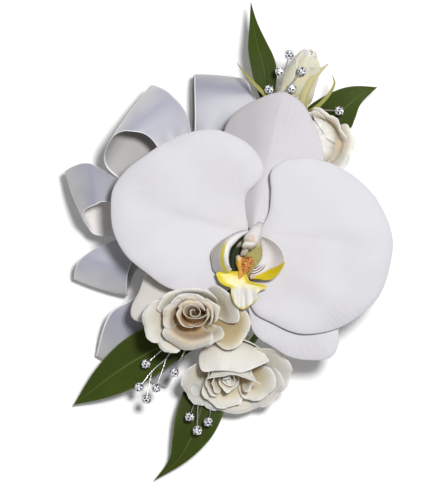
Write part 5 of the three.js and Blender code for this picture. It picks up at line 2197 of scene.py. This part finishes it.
def finishes() -> dict[str, Material]:
    """Makes the finishes that are handed to the pieces.

    Returns:
        The materials by name.
    """
    flesh = ((0.42, 0.24, 0.11), (0.56, 0.38, 0.22), (0.66, 0.57, 0.46))
    looks = (
        FibreFinish("crepe_tape", (0.17, 0.24, 0.07), (0.09, 0.14, 0.035), (1, 1, 1), 90.0, 0.25),
        FibreFinish("ribbed_elastic", (0.84, 0.83, 0.80), (0.62, 0.61, 0.58), (1, 0, 0), 160.0, 0.4),
        FibreFinish("sewing_thread", (0.80, 0.79, 0.76), (0.6, 0.59, 0.56), (1, 1, 1), 400.0, 0.1),
        MetalFinish("clip_steel", (0.68, 0.69, 0.70), 0.28),
        MetalFinish("silver_wire", (0.80, 0.80, 0.82), 0.18),
        FibreFinish("white_wire", (0.8, 0.8, 0.82), (0.6, 0.6, 0.63), (0, 0, 1), 150.0, 0.15),
        RoseFinish("rose_peach", *flesh, 0.5, (0.74, 0.66, 0.55)),
        RoseFinish("rose_warm", (0.46, 0.30, 0.15), (0.58, 0.47, 0.33), (0.60, 0.565, 0.51), 0.52),
        RoseFinish("rose_hood", (0.60, 0.50, 0.30), (0.74, 0.69, 0.60), (0.74, 0.715, 0.665), 0.36),
        RoseFinish("rose_cream", (0.50, 0.37, 0.18), (0.66, 0.57, 0.41), (0.71, 0.685, 0.63), 0.58),
        RoseFinish("rose_outer", (0.47, 0.37, 0.19), (0.64, 0.59, 0.485), (0.67, 0.645, 0.60), 0.45),
        # A darker copy of the outer petals' finish: painted shade on the front rose's right outer petal.
        RoseFinish("rose_shaded_tan", (0.34, 0.25, 0.11), (0.50, 0.41, 0.25), (0.66, 0.61, 0.50), 0.66),
        RoseFinish("rose_ivory", (0.68, 0.56, 0.40), (0.80, 0.73, 0.62), (0.84, 0.795, 0.72), 0.42),
        RoseFinish("rose_bud", (0.50, 0.44, 0.20), (0.65, 0.595, 0.42), (0.70, 0.66, 0.54), 0.45),
        LeafFinish("calyx_skin", (0.22, 0.24, 0.05), (0.46, 0.43, 0.14), (0.56, 0.52, 0.24), 2.0),
        LeafFinish("sepal_pale", (0.40, 0.36, 0.14), (0.66, 0.60, 0.38), (0.74, 0.70, 0.52), 2.0),
        LeafFinish("leaf_skin", (0.013, 0.021, 0.003), (0.070, 0.103, 0.014), (0.12, 0.16, 0.04)),
        # Facet tones of the stones: painted highlight, painted dark reflection and grey metal.
        StoneFinish("stone_bright", (0.92, 0.92, 0.94), (0.80, 0.81, 0.85), 0.0),
        StoneFinish("stone_dark", (0.015, 0.012, 0.025), (0.06, 0.055, 0.08), 0.0),
        StoneFinish("stone_grey", (0.42, 0.42, 0.48), (0.62, 0.62, 0.68), 0.8),
    )
    return {look.name: look.build() for look in looks}


def dress_nodes(nodes: Sequence[str], finish: Material) -> None:
    """Gives nodes whose shape is right their finish.

    Args:
        nodes: The nodes' names.
        finish: Their finish.
    """
    for name in nodes:
        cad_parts[name].material_slots[0].material = finish
        LOG.info("%s dressed", name)


def main() -> None:
    """Builds the studio and every piece of the corsage in order."""
    logging.basicConfig(level=logging.INFO, format="%(name)s: %(message)s")
    Studio().build()
    made = finishes()
    tape, calyx, ivory = made["crepe_tape"], made["calyx_skin"], made["rose_ivory"]

    Orchid().build()
    front_rose().build([made["rose_peach"], made["rose_warm"]], [made["rose_outer"], made["rose_shaded_tan"]], calyx)
    lower_rose().build([made["rose_cream"], made["rose_hood"]], [made["rose_outer"]], calyx)
    upper_rose().build([ivory], [ivory], calyx)
    Bud().build(made["rose_bud"], [calyx, made["sepal_pale"]])
    for blade in leaves():
        blade.build(made["leaf_skin"])
    for loop in ribbon_loops():
        loop.build()
    for spray in sprays():
        spray.build(made["silver_wire"], [made[f"stone_{tone}"] for tone in ("bright", "dark", "grey")])
    Bundle().build(tape)
    Wristlet().build(made["ribbed_elastic"], made["sewing_thread"])

    dress_nodes([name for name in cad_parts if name.startswith(("clip_", "plate_"))], made["clip_steel"])
    dress_nodes(["bow_wire"], made["white_wire"])
    dress_nodes([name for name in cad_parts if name.endswith("_stem")], tape)
    low, high = (corner.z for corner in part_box("orchid_pedicel"))
    pedicel = PedicelFinish(low + 0.4 * (high - low), low + 0.7 * (high - low))
    dress_nodes(["orchid_pedicel"], pedicel.build())


if __name__ == "__main__":
    main()
